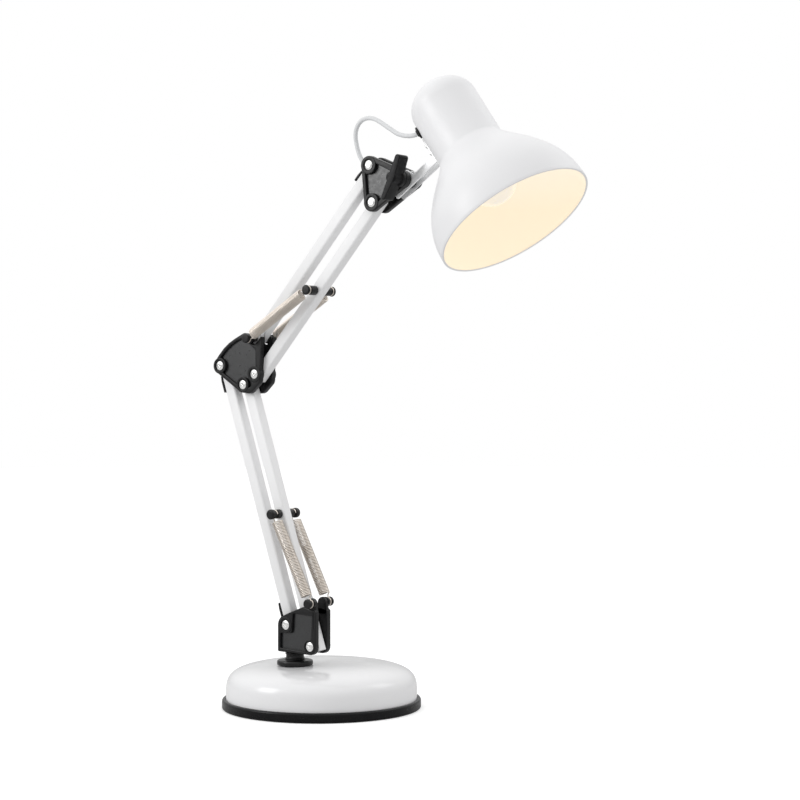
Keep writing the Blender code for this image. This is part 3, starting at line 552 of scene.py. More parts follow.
def slab(name, outlines, low, high, edge=0.0, edge_steps=2):
    """A plate between two distances from the arm's plane. edge is the rounding of its rims."""
    curve = bpy.data.curves.new(name, "CURVE")
    curve.dimensions = "2D"
    curve.fill_mode = "BOTH"
    curve.extrude = ((high - low) / 2 - edge) * MM
    curve.bevel_depth = edge * MM
    curve.bevel_resolution = edge_steps
    curve.offset = -edge * MM
    for outline in outlines:
        spline = curve.splines.new("POLY")
        spline.points.add(len(outline) - 1)
        for point, (x, z) in zip(spline.points, outline):
            point.co = (x * MM, z * MM, 0.0, 1.0)
        spline.use_cyclic_u = True
    obj = bpy.data.objects.new(name, curve)
    bpy.context.scene.collection.objects.link(obj)
    middle = Matrix.Translation((0, (low + high) / 2 * MM, 0))
    obj.matrix_world = middle @ Matrix.Rotation(math.pi / 2, 4, "X")
    return realised(obj)


def block(name, size, edge, steps=3):
    """A box about its own middle, with rounded edges. Its size is in millimetres."""
    work = bmesh.new()
    bmesh.ops.create_cube(work, size=1.0, matrix=Matrix.Diagonal((*(s * MM for s in size), 1.0)))
    bmesh.ops.bevel(work, geom=work.edges[:], offset=edge * MM, segments=steps, profile=0.5,
                    affect="EDGES")
    return temporary(name, work)


def smooth_path(points, per_span):
    """A Catmull-Rom curve through the points."""
    points = [Vector(p) for p in points]
    padded = [2 * points[0] - points[1], *points, 2 * points[-1] - points[-2]]
    made = []
    for a, b, c, d in zip(padded, padded[1:], padded[2:], padded[3:]):
        for i in range(per_span):
            t = i / per_span
            made.append(0.5 * (2 * b + (c - a) * t + (2 * a - 5 * b + 4 * c - d) * t * t
                               + (3 * b - a - 3 * c + d) * t ** 3))
    return made + [points[-1]]


def wire(name, points, radius, roundness):
    """A round wire through points in millimetres."""
    curve = bpy.data.curves.new(name, "CURVE")
    curve.dimensions = "3D"
    curve.bevel_depth = radius * MM
    curve.bevel_resolution = roundness
    curve.use_fill_caps = True
    spline = curve.splines.new("POLY")
    spline.points.add(len(points) - 1)
    for point, co in zip(spline.points, points):
        point.co = (*(Vector(co) * MM), 1.0)
    obj = bpy.data.objects.new(name, curve)
    bpy.context.scene.collection.objects.link(obj)
    return realised(obj)


# Base

COVER_RADIUS, COVER_TOP, COVER_SHOULDER, COVER_BOTTOM, COVER_WALL = 88.4, 41.7, 12.0, 3.8, 1.4
COVER_POWER, SPINDLE_HOLE = 3.9, 7.5


def cover_height(radius):
    """The cover's outer height at this radius: a superellipse above its shoulder."""
    share = max(0.0, 1 - (radius / COVER_RADIUS) ** COVER_POWER)
    return COVER_SHOULDER + (COVER_TOP - COVER_SHOULDER) * share ** (1 / COVER_POWER)


def make_cover():
    radii = [COVER_RADIUS * math.sin(math.pi / 2 * i / 40) for i in range(41)]
    outer = [(r, cover_height(r)) for r in radii] + [(COVER_RADIUS, COVER_BOTTOM)]
    inner = [(max(0.0, r - COVER_WALL), h - COVER_WALL) for r, h in reversed(outer[:-1])]
    cover = lathe("base_cover_fine", outer + [(COVER_RADIUS - COVER_WALL, COVER_BOTTOM)] + inner, 144)
    hole = lathe("hole", [(0, 60), (SPINDLE_HOLE, 60), (SPINDLE_HOLE, 20), (0, 20)], 32)
    hole.data.transform(TO_ARM)
    cover = combined(cover, [hole], "DIFFERENCE")
    finished(cover, "gloss", "base", "white_gloss", "base_cover", arm=False, sharp=50)


def make_rim():
    profile = softened([(88.7, 5.0), (88.7, 9.0, 0.5), (91.0, 9.0, 0.7), (92.0, 7.6, 1.2), (92.0, 1.0, 0.6),
                        (91.0, 0.0, 0.8), (88.7, 0.0, 0.3), (88.7, 5.0)], steps=5)
    rim = lathe("base_rim_fine", profile, 144, ring=True)
    finished(rim, "rim", "base", "black_plastic", "base_rim", arm=False)


def make_foot_pad():
    """A rubber disc with rings cut into its underside."""
    grooves = [(r, 0.0 if i % 2 else 0.25) for r in range(84, 8, -6) for i in (0, 1)]
    pad = lathe("foot_pad_fine", [(0, 1.1), (88.2, 1.1), (88.2, 0.0)] + grooves + [(0, 0.0)], 96)
    finished(pad, "rubber", "base", "rubber", "foot_pad", arm=False)


def make_inlet():
    """The gland low on the back of the cover, where its CAD solid lies."""
    low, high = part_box("cord_inlet")
    centre = (Vector(low) + Vector(high)) / 2
    profile = softened([(2.6, 3.0), (2.6, 3.9, 0.6), (5.0, 3.9, 0.8), (6.4, 1.6, 0.5), (6.4, 0.9, 0.2),
                        (4.2, 0.9), (4.2, -3.4), (2.6, -3.4), (2.6, 3.0)])
    inlet = lathe("cord_inlet_fine", profile, 48, ring=True)
    aimed(inlet, centre, Vector((centre.x, centre.y, 0.0)).normalized())
    finished(inlet, "black", "base", "black_plastic", "cord_inlet", arm=False)


def make_collar():
    profile = softened([(5.4, 44), (5.4, 47.1, 0.3), (9.8, 47.1, 0.2), (10.2, 46.6, 0.2), (14.6, 46.6, 0.5),
                        (16.0, 46.2, 0.6), (16.5, 45.0, 0.5), (16.5, 42.6, 0.5), (15.9, 42.0), (5.4, 42.0),
                        (5.4, 44)])
    collar = lathe("swivel_collar_fine", profile, 96, ring=True)
    finished(collar, "black", "base", "black_plastic", "swivel_collar")


def dress_hidden():
    """The pieces inside the base keep their CAD shapes and get their own metals."""
    for node, look in (("base_weight", "iron"), ("base_plate", "zinc"), ("spindle_nut", "zinc")):
        frame["nodes"][node].data.materials.clear()
        frame["nodes"][node].data.materials.append(LOOK[look])


def make_post():
    """The spindle, with a flat tang that stands between the base bracket's plates."""
    profile = softened([(0, 53.2), (8.9, 53.2, 0.5), (8.9, 51.9, 0.4), (8.2, 51.6, 0.3), (8.2, 48.9, 0.6),
                        (9.0, 48.3, 0.3), (9.0, 47.4, 0.3), (4.9, 47.4, 0.1), (4.9, 7.0), (0, 7.0)])
    post = lathe("swivel_post", profile, 64)
    tang, tang_middle = block("tang", (12.0, 10.6, 16.0), 0.5), 58.0
    tang.data.transform(Matrix.Translation((0, 0, tang_middle * MM)))
    post = combined(post, [tang])
    finished(post, "black", "swivel", "black_plastic", "swivel_spindle")


# Brackets

# Distances from the arm's plane: a plate's inner face, its web, its rim and its bosses
PLATE_INNER, WEB, PLATE_OUTER, PLATE_BOSS = 5.8, 8.8, 11.3, 11.8
PIVOT_HOLE, COUNTERBORE, COUNTERBORE_DEPTH = 3.35, 5.2, 0.9
WEB_INSET, BOSS_OVERLAP, RIVET_PROUD = 0.65, 1.2, 0.35


def boss(point, radius):
    """A round boss with a counterbore for a rivet's head."""
    seat = PLATE_BOSS - COUNTERBORE_DEPTH
    profile = softened([(PIVOT_HOLE, PLATE_INNER + 0.5), (PIVOT_HOLE, seat, 0.1), (COUNTERBORE, seat, 0.1),
                        (COUNTERBORE, PLATE_BOSS, 0.25), (radius, PLATE_BOSS, 0.45), (radius + 0.3, WEB, 0.3),
                        (radius + 0.3, PLATE_INNER, 0.1), (PIVOT_HOLE, PLATE_INNER, 0.1),
                        (PIVOT_HOLE, PLATE_INNER + 0.5)])
    return across(lathe("boss", profile, 48, ring=True), point)


def bracket_pair(name, outline, window, bosses, ribs, body):
    """Two mirrored plates. outline and window are discs for a belt: a raised rim runs between the two, and
    inside the window is a thinner web. A boss is (point, radius)."""
    parts = [slab("rim", [belt(outline), belt(window)], -PLATE_OUTER, -PLATE_INNER, 0.8, 3),
             slab("web", [belt(outline, -WEB_INSET)], -WEB, -PLATE_INNER - 0.05)]
    for i, part in enumerate(parts):
        holes = []
        for point, outer in bosses:
            radius = outer - BOSS_OVERLAP
            holes.append(across(lathe("hole", [(0, 20), (radius, 20), (radius, 0), (0, 0)], 40), point))
        parts[i] = combined(part, holes, "DIFFERENCE")
    plate = joined(name, parts + ribs + [boss(*each) for each in bosses])
    back = mirrored(plate, name.replace("front", "back"))
    for obj in (plate, back):
        finished(obj, "black", body, "black_plastic", obj.name.replace("_fine", ""), sharp=32)
        obj.data.materials.append(LOOK["web"])
        for face in obj.data.polygons:
            if abs(abs(face.center.y - ARM_ORIGIN.y * MM) - WEB * MM) < 0.05 * MM:
                face.material_index = 1


def rivet(name, point, body):
    """A pin with a domed head at both ends, each with a small dimple."""
    top = PLATE_BOSS + RIVET_PROUD
    half = [(0, top - 1.0), (1.1, top - 1.0, 0.1), (1.5, top - 0.05, 0.15), (2.9, top - 0.15, 0.8),
            (4.3, top - 0.85, 0.5), (4.35, top - 1.25, 0.1), (3.0, top - 1.25, 0.1)]
    pin = across(lathe(name + "_fine", softened(both_ways(half), 0.2), 40), point)
    finished(pin, "bright", body, "rivet_steel", name)


def base_bracket():
    outline = [(REAR_FOOT.x, REAR_FOOT.y - 0.4, 9.2), (-9.9, 55.9, 1.5), (26.6, 59.9, 6.2),
               (31.3, 92.5, 1.5), (18.5, 95.3, 1.5), (4.0, 90.0, 1.3)]
    window = [(-7.4, 70.6, 1.0), (-7.4, 58.9, 1.2), (19.5, 57.6, 1.2), (27.4, 64.0, 2.0),
              (27.9, 87.4, 1.5), (7.4, 89.0, 1.2), (2.8, 74.3, -2.4)]
    bosses = [(REAR_FOOT, 7.4), (FRONT_FOOT, 6.2)]
    ear_line = belt([(26.6, 100.0, 5.0), (21.8, 91.0, 2.0), (30.6, 91.0, 2.0)])
    ear = slab("ear", [ear_line], -9.4, -PLATE_INNER, 0.8, 3)
    rib_line = belt([(30.4, 93.0, 2.2), (29.4, 61.5, 3.2)])
    rib = slab("rib", [rib_line], -PLATE_OUTER, -PLATE_INNER, 1.9, 4)
    bracket_pair("base_bracket_front_fine", outline, window, bosses, [ear, rib], "swivel")
    profile = softened([(0, 17.6), (3.6, 17.6, 0.5), (4.3, 16.9, 0.4), (4.3, 15.0, 0.3), (2.6, 14.7, 0.3),
                        (2.6, 11.4, 0.3), (4.4, 11.1, 0.3), (4.6, 9.2, 0.3), (2.6, 9.2, 0.1), (2.6, 6.0),
                        (0, 6.0)])
    for label, side in SIDES:
        peg = across(lathe(f"base_spring_peg_{label}_fine", profile, 40), BASE_PEG, side)
        finished(peg, "black", "swivel", "black_plastic", "base_spring_peg_" + label)
    rivet("base_rivet_rear", REAR_FOOT, "swivel")
    rivet("base_rivet_front", FRONT_FOOT, "swivel")


def elbow_bracket():
    crown, crown_radius, rim_width = (-41.2, 291.6), 54.6, 3.0
    outline = [(*REAR_KNEE, 7.4), (*FRONT_KNEE, 7.4), (-47.0, 298.3, 8.0), (-39.5, 303.5, 6.8),
               (-38.2, 330.0, 5.4), (-32.0, 341.8, 0.8), (-41.2, 341.0, -5.4), (-51.6, 341.8, 4.6),
               (*crown, crown_radius)]
    window = [(-80.4, 316.4, 4.6), (-54.0, 299.6, 4.6), (-47.0, 300.6, 4.6), (-43.4, 306.0, 4.8),
              (-43.0, 328.0, 4.6), (-51.6, 336.0, 3.2), (*crown, crown_radius - rim_width)]
    bosses = [(REAR_KNEE, 7.4), (FRONT_KNEE, 7.2), (LOW_ELBOW, 7.6)]
    bracket_pair("elbow_plate_front_fine", outline, window, bosses, [], "elbow")
    for name, point in (("rear", REAR_KNEE), ("front", FRONT_KNEE), ("upper", LOW_ELBOW)):
        rivet("elbow_rivet_" + name, point, "elbow")
    half = [(0, 20.6), (3.6, 20.6, 0.5), (4.3, 19.9, 0.4), (4.3, 17.6, 0.3), (2.9, 17.3, 0.3),
            (2.9, 13.7, 0.3), (4.2, 13.4, 0.3), (4.3, 11.7, 0.2), (2.9, 11.7, 0.1)]
    pin = lathe("elbow_spring_pin_fine", softened(both_ways(half)), 40)
    finished(across(pin, HIGH_ELBOW), "black", "elbow", "black_plastic", "elbow_spring_pin")


def head_bracket():
    outline = [(*HIGH_HEAD, 8.2), (*LOW_HEAD, 8.2), (*TILT, 7.7)]
    window = [(94.4, 489.6, 5.4), (96.8, 461.0, 5.4), (122.0, 477.4, 4.6)]
    bosses = [(HIGH_HEAD, 8.0), (LOW_HEAD, 7.8), (TILT, 7.6)]
    bracket_pair("head_plate_front_fine", outline, window, bosses, [], "head_bracket")
    rivet("head_rivet_high", HIGH_HEAD, "head_bracket")
    rivet("head_rivet_low", LOW_HEAD, "head_bracket")
    profile = softened([(0, 24.0), (2.4, 24.0, 0.4), (3.0, 23.2, 0.3), (3.0, -12.0, 0.1), (6.2, -12.0, 0.2),
                        (6.2, -12.9, 0.2), (4.6, -13.0, 0.1), (4.6, -15.0, 0.5), (0, -15.0)], 0.2)
    bolt = across(lathe("tilt_bolt_fine", profile, 48), TILT)
    finished(bolt, "bright", "head_bracket", "rivet_steel", "tilt_bolt")


# Tubes and the spring pins through them

LOWER_SPRING_Y, UPPER_SPRING_Y = 13.0, 16.6  # the upper springs pass over the elbow's plates
TUBE_WIDTH, TUBE_DEPTH, TUBE_WALL, TUBE_CORNER, TUBE_PAST_PIVOT = 11.4, 10.8, 1.2, 2.2, 5.0
BESIDE_TUBE = TUBE_WIDTH / 2 + 0.3  # the foot of what is fixed on a tube's outer side


def along_bar(start, direction, distance):
    """A matrix that stands the Z axis of an upright shape along a bar, at this distance from its foot."""
    middle = start + direction * distance
    lean = Matrix.Rotation(math.atan2(direction.x, direction.y), 4, "Y")
    return Matrix.Translation((middle.x * MM, 0, middle.y * MM)) @ lean


def tube(node, start, end, body):
    """A rolled rectangular tube with rounded corners and open ends."""
    def section(inset):
        w, d, r = TUBE_WIDTH / 2 - inset, TUBE_DEPTH / 2 - inset, TUBE_CORNER - 0.8 * inset
        return belt([(-w + r, -d + r, r), (w - r, -d + r, r), (w - r, d - r, r), (-w + r, d - r, r)])

    length = (end - start).length
    reach = length / 2 + TUBE_PAST_PIVOT
    obj = slab(node + "_fine", [section(0.0), section(TUBE_WALL)], -reach, reach, 0.25, 1)
    along = along_bar(start, (end - start).normalized(), length / 2)
    obj.data.transform(along @ Matrix.Rotation(math.pi / 2, 4, "X"))
    finished(obj, "paint", body, "white_satin", node, sharp=30)


def guard(node, start, direction, low, high, body):
    """A thin black lip on a tube's outer side, between two distances up from its lower pivot. It thins
    towards the upper end."""
    side = Vector((-direction.y, direction.x))
    near, far = BESIDE_TUBE, BESIDE_TUBE + 1.6
    corners = [(low, near), (high, near), (high - 0.3, near + 0.9), (high - 5.0, far), (low, far)]
    outline = [start + direction * along + side * off for along, off in corners]
    obj = slab(node + "_fine", [outline], -TUBE_DEPTH / 2, TUBE_DEPTH / 2, 0.25)
    finished(obj, "black", body, "black_plastic", node, sharp=25)


def spring_pin(prefix, point, spring_y, body):
    """The tube's cross pin, with a bushing on each side that is grooved for the spring's hook."""
    profile = softened([(0, 18.4), (2.2, 18.4), (2.2, -18.4), (0, -18.4)])
    core = across(lathe(prefix + "_spring_pin_fine", profile, 24), point)
    finished(core, "bright", body, "rivet_steel", prefix + "_spring_pin")
    profile = softened([(0, 19.8), (3.4, 19.8, 0.6), (4.6, 18.9, 0.6), (4.6, spring_y + 2.1, 0.4),
                        (2.9, spring_y + 1.6, 0.5), (2.9, spring_y - 1.6, 0.5), (4.2, spring_y - 2.1, 0.4),
                        (4.3, 6.2, 0.4), (3.6, 5.7, 0.2), (2.4, 5.7, 0.1), (2.4, 18.7), (0, 18.7)])
    for label, side in SIDES:
        bush = across(lathe(f"{prefix}_spring_bush_{label}_fine", profile, 40), point, side)
        finished(bush, "black", body, "black_plastic", f"{prefix}_spring_bush_{label}")


# Springs: one half of each coil rides with the tube's pin and the other half with the bracket's peg. The
# peg's half runs on inside the pin's half, narrower by a wire, so that no gap opens as the spring stretches.

WIRE_RADIUS, COIL_RADIUS, HOOK_RADIUS, COIL_START = 0.6, 4.7, 3.75, 7.8
PITCH, INSIDE_STEP = 2.4 * WIRE_RADIUS, 2.15 * WIRE_RADIUS
HOOK_START, HOOK_SWEEP, HOOK_STEPS = math.radians(65), math.radians(255), 22
COIL_ANGLE, STEPS_PER_TURN = math.radians(160), 18
LOWER_INSIDE, UPPER_INSIDE = 12.0, 26.0


def spring_half(name, pin, other, y, inside):
    """A hook round one pin and the coil from it to half way, and this far on inside the other half."""
    along = (other - pin).normalized()
    sideways = Vector((-along.y, along.x))
    length = (other - pin).length

    def place(forward, off, depth):
        point = pin + along * forward + sideways * off
        return Vector((point.x, y + depth, point.y))

    hook = [place(HOOK_RADIUS * math.cos(t), HOOK_RADIUS * math.sin(t), 0.0)
            for t in (HOOK_START + HOOK_SWEEP * i / HOOK_STEPS for i in range(HOOK_STEPS + 1))]
    run_up = [place(COIL_START - 2.6, -HOOK_RADIUS * 0.75, 0.3),
              place(COIL_START - 0.7, -COIL_RADIUS * 0.97, 1.1)]
    turns = (length / 2 - COIL_START) / PITCH
    coil = []
    for i in range(math.ceil((turns + inside / PITCH) * STEPS_PER_TURN)):
        turn = i / STEPS_PER_TURN
        past = max(0.0, min(1.0, turn - turns))
        radius = COIL_RADIUS - INSIDE_STEP * past
        angle = 2 * math.pi * turn + COIL_ANGLE
        coil.append(place(COIL_START + turn * PITCH, radius * math.cos(angle), radius * math.sin(angle)))
    return wire(name, smooth_path(hook + run_up + coil[:1], 3)[:-1] + coil, WIRE_RADIUS, 1)


def make_springs():
    lower = ("lower", LOWER_PIN, BASE_PEG, LOWER_SPRING_Y, LOWER_INSIDE)
    upper = ("upper", UPPER_PIN, HIGH_ELBOW, UPPER_SPRING_Y, UPPER_INSIDE)
    for prefix, pin, peg, spring_y, inside in (lower, upper):
        for label, side in SIDES:
            y = side * spring_y
            node, hook_node = f"{prefix}_spring_{label}", f"{prefix}_spring_hook_{label}"
            pin_half = spring_half(node + "_fine", pin, peg, y, 0.0)
            finished(pin_half, "wire", prefix + "_springs", "spring_steel", node, sharp=80)
            peg_half = spring_half(hook_node + "_fine", peg, pin, y, inside)
            finished(peg_half, "wire", prefix + "_spring_hooks", "spring_steel", hook_node, sharp=80)


# Head

MOUTH = Vector((240.2, 435.0))
SHADE_TILT = math.radians(35.2)
SHADE_UP = Vector((-math.sin(SHADE_TILT), math.cos(SHADE_TILT)))
SHADE_OUT = Vector((SHADE_UP.y, -SHADE_UP.x))  # from the bracket towards the neck
# Stations are distances from the mouth along the shade's axis.
MOUTH_RADIUS, NECK_RADIUS, BOWL_DEPTH, NECK_TOP, SHADE_TOP = 69.9, 30.3, 79.0, 126.0, 150.0
BELL_POWER, BELL_FLARE = 2.4, 1.5
SHADE_WALL, LIP_RADIUS, LIP_HEIGHT, TOP_INSIDE, PAINT_START = 1.0, 0.95, 0.75, 0.955, 1.2
BULB_RADIUS, BULB_STATION, BULB_NECK = 22.5, 44.5, 13.0


def shade_radius(station):
    """The bowl's outer radius: a bell from the mouth to the neck."""
    share = min(1.0, max(0.0, station / BOWL_DEPTH))
    return NECK_RADIUS + (MOUTH_RADIUS - NECK_RADIUS) * (1 - share ** BELL_POWER) ** BELL_FLARE


def on_axis(obj):
    """Stands a turned shape on the shade's axis, its heights counted from the mouth."""
    obj.data.transform(along_bar(MOUTH, SHADE_UP, 0.0))
    return obj


def shade_point(station, out, turn=0.0):
    """A place on the shade, out from its axis towards the bracket, turned this far round to the front."""
    middle = MOUTH + SHADE_UP * station - SHADE_OUT * (out * math.cos(turn))
    return Vector((middle.x, -out * math.sin(turn), middle.y))


def make_shade():
    dome = [(NECK_RADIUS * math.sin(t), NECK_TOP + (SHADE_TOP - NECK_TOP) * math.cos(t))
            for t in (math.pi / 2 * i / 24 for i in range(25))]
    bowl = [(shade_radius(s), s) for s in (BOWL_DEPTH * (1 - i / 60) for i in range(61)) if s > 1.0]
    outer = dome + bowl
    lip = [(MOUTH_RADIUS - LIP_RADIUS + LIP_RADIUS * math.cos(t), LIP_HEIGHT + LIP_HEIGHT * math.sin(t))
           for t in (math.radians(30 - 25 * i) for i in range(9))]
    inner = [(max(0.0, r - SHADE_WALL), h if h < NECK_TOP else NECK_TOP + (h - NECK_TOP) * TOP_INSIDE)
             for r, h in reversed(outer)]
    inner[-1] = (0.0, inner[-1][1])
    shade = on_axis(lathe("shade_fine", outer + lip + inner, 160))
    finished(shade, "shade", "head", "white_shade", "shade", sharp=60)
    # The inner faces take the inside paint, which carries the painted glow of the lamp's light.
    shade.data.materials.append(LOOK["inside"])
    axis = (ARM_ORIGIN + Vector((MOUTH.x, 0, MOUTH.y))) * MM
    up = Vector((SHADE_UP.x, 0, SHADE_UP.y))
    for face in shade.data.polygons:
        station = (face.center - axis).dot(up) / MM
        outward = face.center - axis - up * station * MM
        if station > PAINT_START and outward.dot(face.normal) < 0.0:
            face.material_index = 1


def make_lampholder():
    profile = softened([(0, 121), (17.0, 121, 0.5), (17.0, 114.0, 0.5), (28.0, 114.0, 0.3),
                        (28.0, 112.0, 0.3), (18.0, 112.0, 0.6), (18.0, 86.0, 1.0), (16.6, 84.0, 0.5),
                        (14.4, 84.0, 0.4), (13.9, 88.0), (0, 88.0)])
    holder = on_axis(lathe("lampholder_fine", profile, 64))
    finished(holder, "black", "head", "black_plastic", "lampholder")


def make_bulb():
    """A frosted globe, its ball drawn from where its neck widens to its tip."""
    start = 0.86 * math.acos(BULB_NECK / BULB_RADIUS)
    glass = [(0, 87.6), (BULB_NECK, 87.6), (BULB_NECK, 76.0), (BULB_NECK + 0.8, 70.0)]
    glass += [(BULB_RADIUS * math.cos(t), BULB_STATION + BULB_RADIUS * math.sin(t))
              for t in (start - (start + math.pi / 2) * i / 32 for i in range(33))]
    glass[-1] = (0, BULB_STATION - BULB_RADIUS)
    finished(on_axis(lathe("bulb_fine", glass, 72)), "glass", "head", "bulb_glass", "bulb", sharp=60)


FORK_OUTER, FORK_INNER, FORK_PLATE, FORK_GAP_TO_NECK = 5.2, 3.8, 1.5, 0.7
FORK_SCREWS = (("low", 2.5), ("high", 10.5))  # along the neck, from the tilt axis


def fork_point(along, above):
    """A place in the arm's plane, from the tilt axis towards the neck and up along the shade."""
    return TILT + SHADE_OUT * along + SHADE_UP * above


def make_fork():
    """A folded steel strap: two legs on the tilt bolt, joined by a web on the neck."""
    web = (MOUTH - TILT).dot(SHADE_OUT) - NECK_RADIUS - FORK_GAP_TO_NECK
    plate = web - FORK_PLATE
    corners = [(-16.5, -9.6, 2.0), (web, -9.6, 0.5), (web, 16.5, 0.4), (plate - 0.1, 16.5, 0.4),
               (plate - 0.1, -2.3, 1.0), (10.0, -2.3, 3.0), (6.5, 6.0, 3.0), (-6.5, 6.0, 3.5),
               (-16.5, -3.8, 2.5)]
    outline = rounded([(*fork_point(along, above), radius) for along, above, radius in corners])
    fork = slab("shade_fork_fine", [outline], -FORK_OUTER, FORK_OUTER, 0.4, 3)
    slot_line = [fork_point(-40, -30), fork_point(plate, -30), fork_point(plate, 30), fork_point(-40, 30)]
    slot = slab("slot", [slot_line], -FORK_INNER, FORK_INNER)
    hole = across(lathe("hole", [(0, 20), (3.3, 20), (3.3, -20), (0, -20)], 32), TILT)
    fork = combined(fork, [slot, hole], "DIFFERENCE")
    finished(fork, "fork", "head", "fork_steel", "shade_fork", sharp=30)


def make_friction_block():
    """A plastic ring on the tilt bolt, between the fork's legs."""
    profile = softened([(3.3, 0), (3.3, 3.4, 0.2), (7.4, 3.4, 0.4), (7.4, -3.4, 0.4), (3.3, -3.4, 0.2),
                        (3.3, 0)])
    ring = across(lathe("friction_block_fine", profile, 48, ring=True), TILT)
    finished(ring, "black", "head", "black_plastic", "friction_block")


def make_fork_screws():
    """Two cross-headed screws that hold the fork's web to the neck."""
    top = 5.1
    profile = softened([(0, top), (1.7, top, 0.6), (2.7, 4.3, 0.4), (2.7, 2.45, 0.2), (1.5, 2.45, 0.1),
                        (1.5, -5.0), (0, -5.0)])
    station = (TILT - MOUTH).dot(SHADE_UP)
    for label, offset in FORK_SCREWS:
        screw = lathe(f"fork_screw_{label}_fine", profile, 32)
        cross = [block("cross", (3.4, 0.7, 1.2), 0.1, 1), block("cross", (0.7, 3.4, 1.2), 0.1, 1)]
        for bar in cross:
            bar.data.transform(Matrix.Translation((0, 0, top * MM)))
        screw = combined(screw, cross, "DIFFERENCE")
        place = shade_point(station + offset, NECK_RADIUS) * MM
        aimed(screw, place, Vector((-SHADE_OUT.x, 0.0, -SHADE_OUT.y)))
        finished(screw, "bright", "head", "rivet_steel", "fork_screw_" + label)


KNOB_LEAN = math.radians(65.7)


def make_knob():
    """The tilt's thumb lever: a round hub with a tall flat bar, bored for the bolt from its inner side."""
    along = Vector((math.cos(KNOB_LEAN), math.sin(KNOB_LEAN)))
    bar_line = belt([(*(TILT + along * 18.4), 2.6), (*(TILT - along * 18.6), 2.2),
                     (*(TILT - Vector((0.2, 0))), 4.6)])
    bar = slab("tilt_knob_fine", [bar_line], -26.6, -13.3, 0.6, 3)
    hub_profile = softened([(0, 25.6), (5.2, 25.6, 0.8), (5.6, 16.4, 0.6), (7.4, 16.0, 0.6), (7.4, 12.1, 0.4),
                            (0, 12.1)])
    hub = across(lathe("hub", hub_profile, 64), TILT)
    bore = across(lathe("bore", [(0, 24.3), (3.3, 24.3), (3.3, 5), (0, 5)], 32), TILT)
    knob = combined(combined(bar, [hub]), [bore], "DIFFERENCE")
    finished(knob, "knob", "knob", "black_plastic", "tilt_knob", sharp=32)


# Cord

CORD_DIAMETER = 4.0
CORD_ROUTE = [
    (81.2, 0.0, 493.0), (78.3, 0.0, 497.0), (75.3, -0.2, 501.8), (73.0, -0.5, 507.8), (71.5, -1.0, 514.8),
    (71.6, -2.0, 521.0), (73.5, -3.0, 526.2), (77.2, -4.0, 530.7), (83.0, -5.0, 533.6), (90.4, -6.0, 534.0),
    (97.9, -7.0, 532.0), (105.5, -8.5, 528.2), (115.8, -10.5, 522.2), (126.0, -12.6, 516.6),
    (134.5, -14.0, 514.0), (141.0, -14.6, 513.2), (146.2, -14.3, 513.6),
]
CORD_SPLIT, CORD_STEPS = 9, 6  # the route point where the cord is split in two pieces, and steps between points
GROMMET_STATION, GROMMET_OUT, GROMMET_TURN = 118.0, 31.6, math.radians(25.0)
BUSH_BELOW_PIVOT = 7.0


def cord_piece(name, first, last, bodies, *nodes):
    """A stretch of the cord between two of its route's points. The bodies it is given are not used."""
    inside = shade_point(GROMMET_STATION, GROMMET_OUT, GROMMET_TURN)
    line = smooth_path(CORD_ROUTE + [inside], CORD_STEPS)[first * CORD_STEPS:last * CORD_STEPS + 1]
    obj = wire(name, line, CORD_DIAMETER / 2, 3)
    obj.data.transform(TO_ARM)
    obj.data.materials.append(LOOK["cord"])
    obj.data.shade_smooth()
    obj.data.set_sharp_from_angle(angle=math.radians(60))
    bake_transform(obj)
    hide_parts(*nodes)


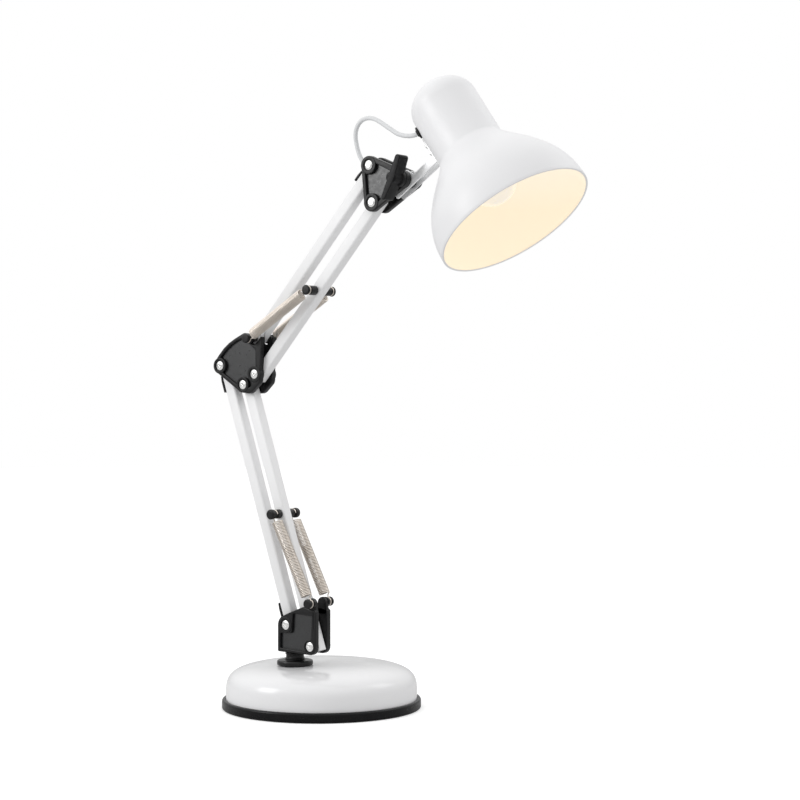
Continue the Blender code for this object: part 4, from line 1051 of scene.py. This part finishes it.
def make_cord_bush():
    """The bush that the cord comes out of, on the upper tube."""
    outward = Vector((-UPPER_UP.y, UPPER_UP.x))
    foot = HIGH_HEAD - UPPER_UP * BUSH_BELOW_PIVOT + outward * BESIDE_TUBE
    profile = softened([(0, 2.9), (2.5, 2.9, 0.4), (3.3, 1.2, 0.5), (3.3, 0.0), (0, 0.0)])
    bush = lathe("cord_bush_fine", profile, 40)
    aimed(bush, Vector((foot.x, 0, foot.y)) * MM, Vector((outward.x, 0, outward.y)))
    finished(bush, "black", "upper_rear_link", "black_plastic", "cord_bush")


def make_grommet():
    """The grommet that the cord goes into, on the neck. Its heights are from the shade's axis."""
    outward = shade_point(0, 1, GROMMET_TURN) - shade_point(0, 0)
    profile = softened([(0, 32.9), (2.9, 32.9, 0.4), (3.3, 32.1, 0.4), (5.0, 31.9, 0.4), (5.6, 31.0, 0.4),
                        (5.4, 30.3, 0.2), (3.6, 30.3, 0.2), (3.6, 28.2, 0.2), (0, 28.2)])
    grommet = lathe("cord_grommet_fine", profile, 48)
    aimed(grommet, shade_point(GROMMET_STATION, 0) * MM, outward)
    finished(grommet, "black", "head", "black_plastic", "cord_grommet")


def make_cord():
    cord_piece("head_cord_rise", 0, CORD_SPLIT, ("upper_rear_link", "head_bracket"), "head_cord_foot",
               "head_cord_lower")
    cord_piece("head_cord_fall", CORD_SPLIT, len(CORD_ROUTE), ("head_bracket", "head"), "head_cord_upper")


make_camera()
make_set()
make_cord_bush()
make_grommet()
make_cord()
make_cover()
make_rim()
make_foot_pad()
make_inlet()
make_collar()
dress_hidden()
make_post()
base_bracket()
elbow_bracket()
head_bracket()
tube("lower_tube_rear", REAR_FOOT, REAR_KNEE, "lower_rear_link")
tube("lower_tube_front", FRONT_FOOT, FRONT_KNEE, "lower_front_link")
tube("upper_tube_rear", HIGH_ELBOW, HIGH_HEAD, "upper_rear_link")
tube("upper_tube_front", LOW_ELBOW, LOW_HEAD, "upper_front_link")
guard("lower_guard_bottom", REAR_FOOT, LOWER_UP, 6.0, 22.0, "lower_rear_link")
guard("lower_guard_top", REAR_FOOT, LOWER_UP, 226.4, 242.4, "lower_rear_link")
guard("upper_guard", HIGH_ELBOW, UPPER_UP, 181.0, 192.0, "upper_rear_link")
spring_pin("lower", LOWER_PIN, LOWER_SPRING_Y, "lower_front_link")
spring_pin("upper", UPPER_PIN, UPPER_SPRING_Y, "upper_front_link")
make_springs()
make_shade()
make_lampholder()
make_bulb()
make_fork()
make_friction_block()
make_fork_screws()
make_knob()
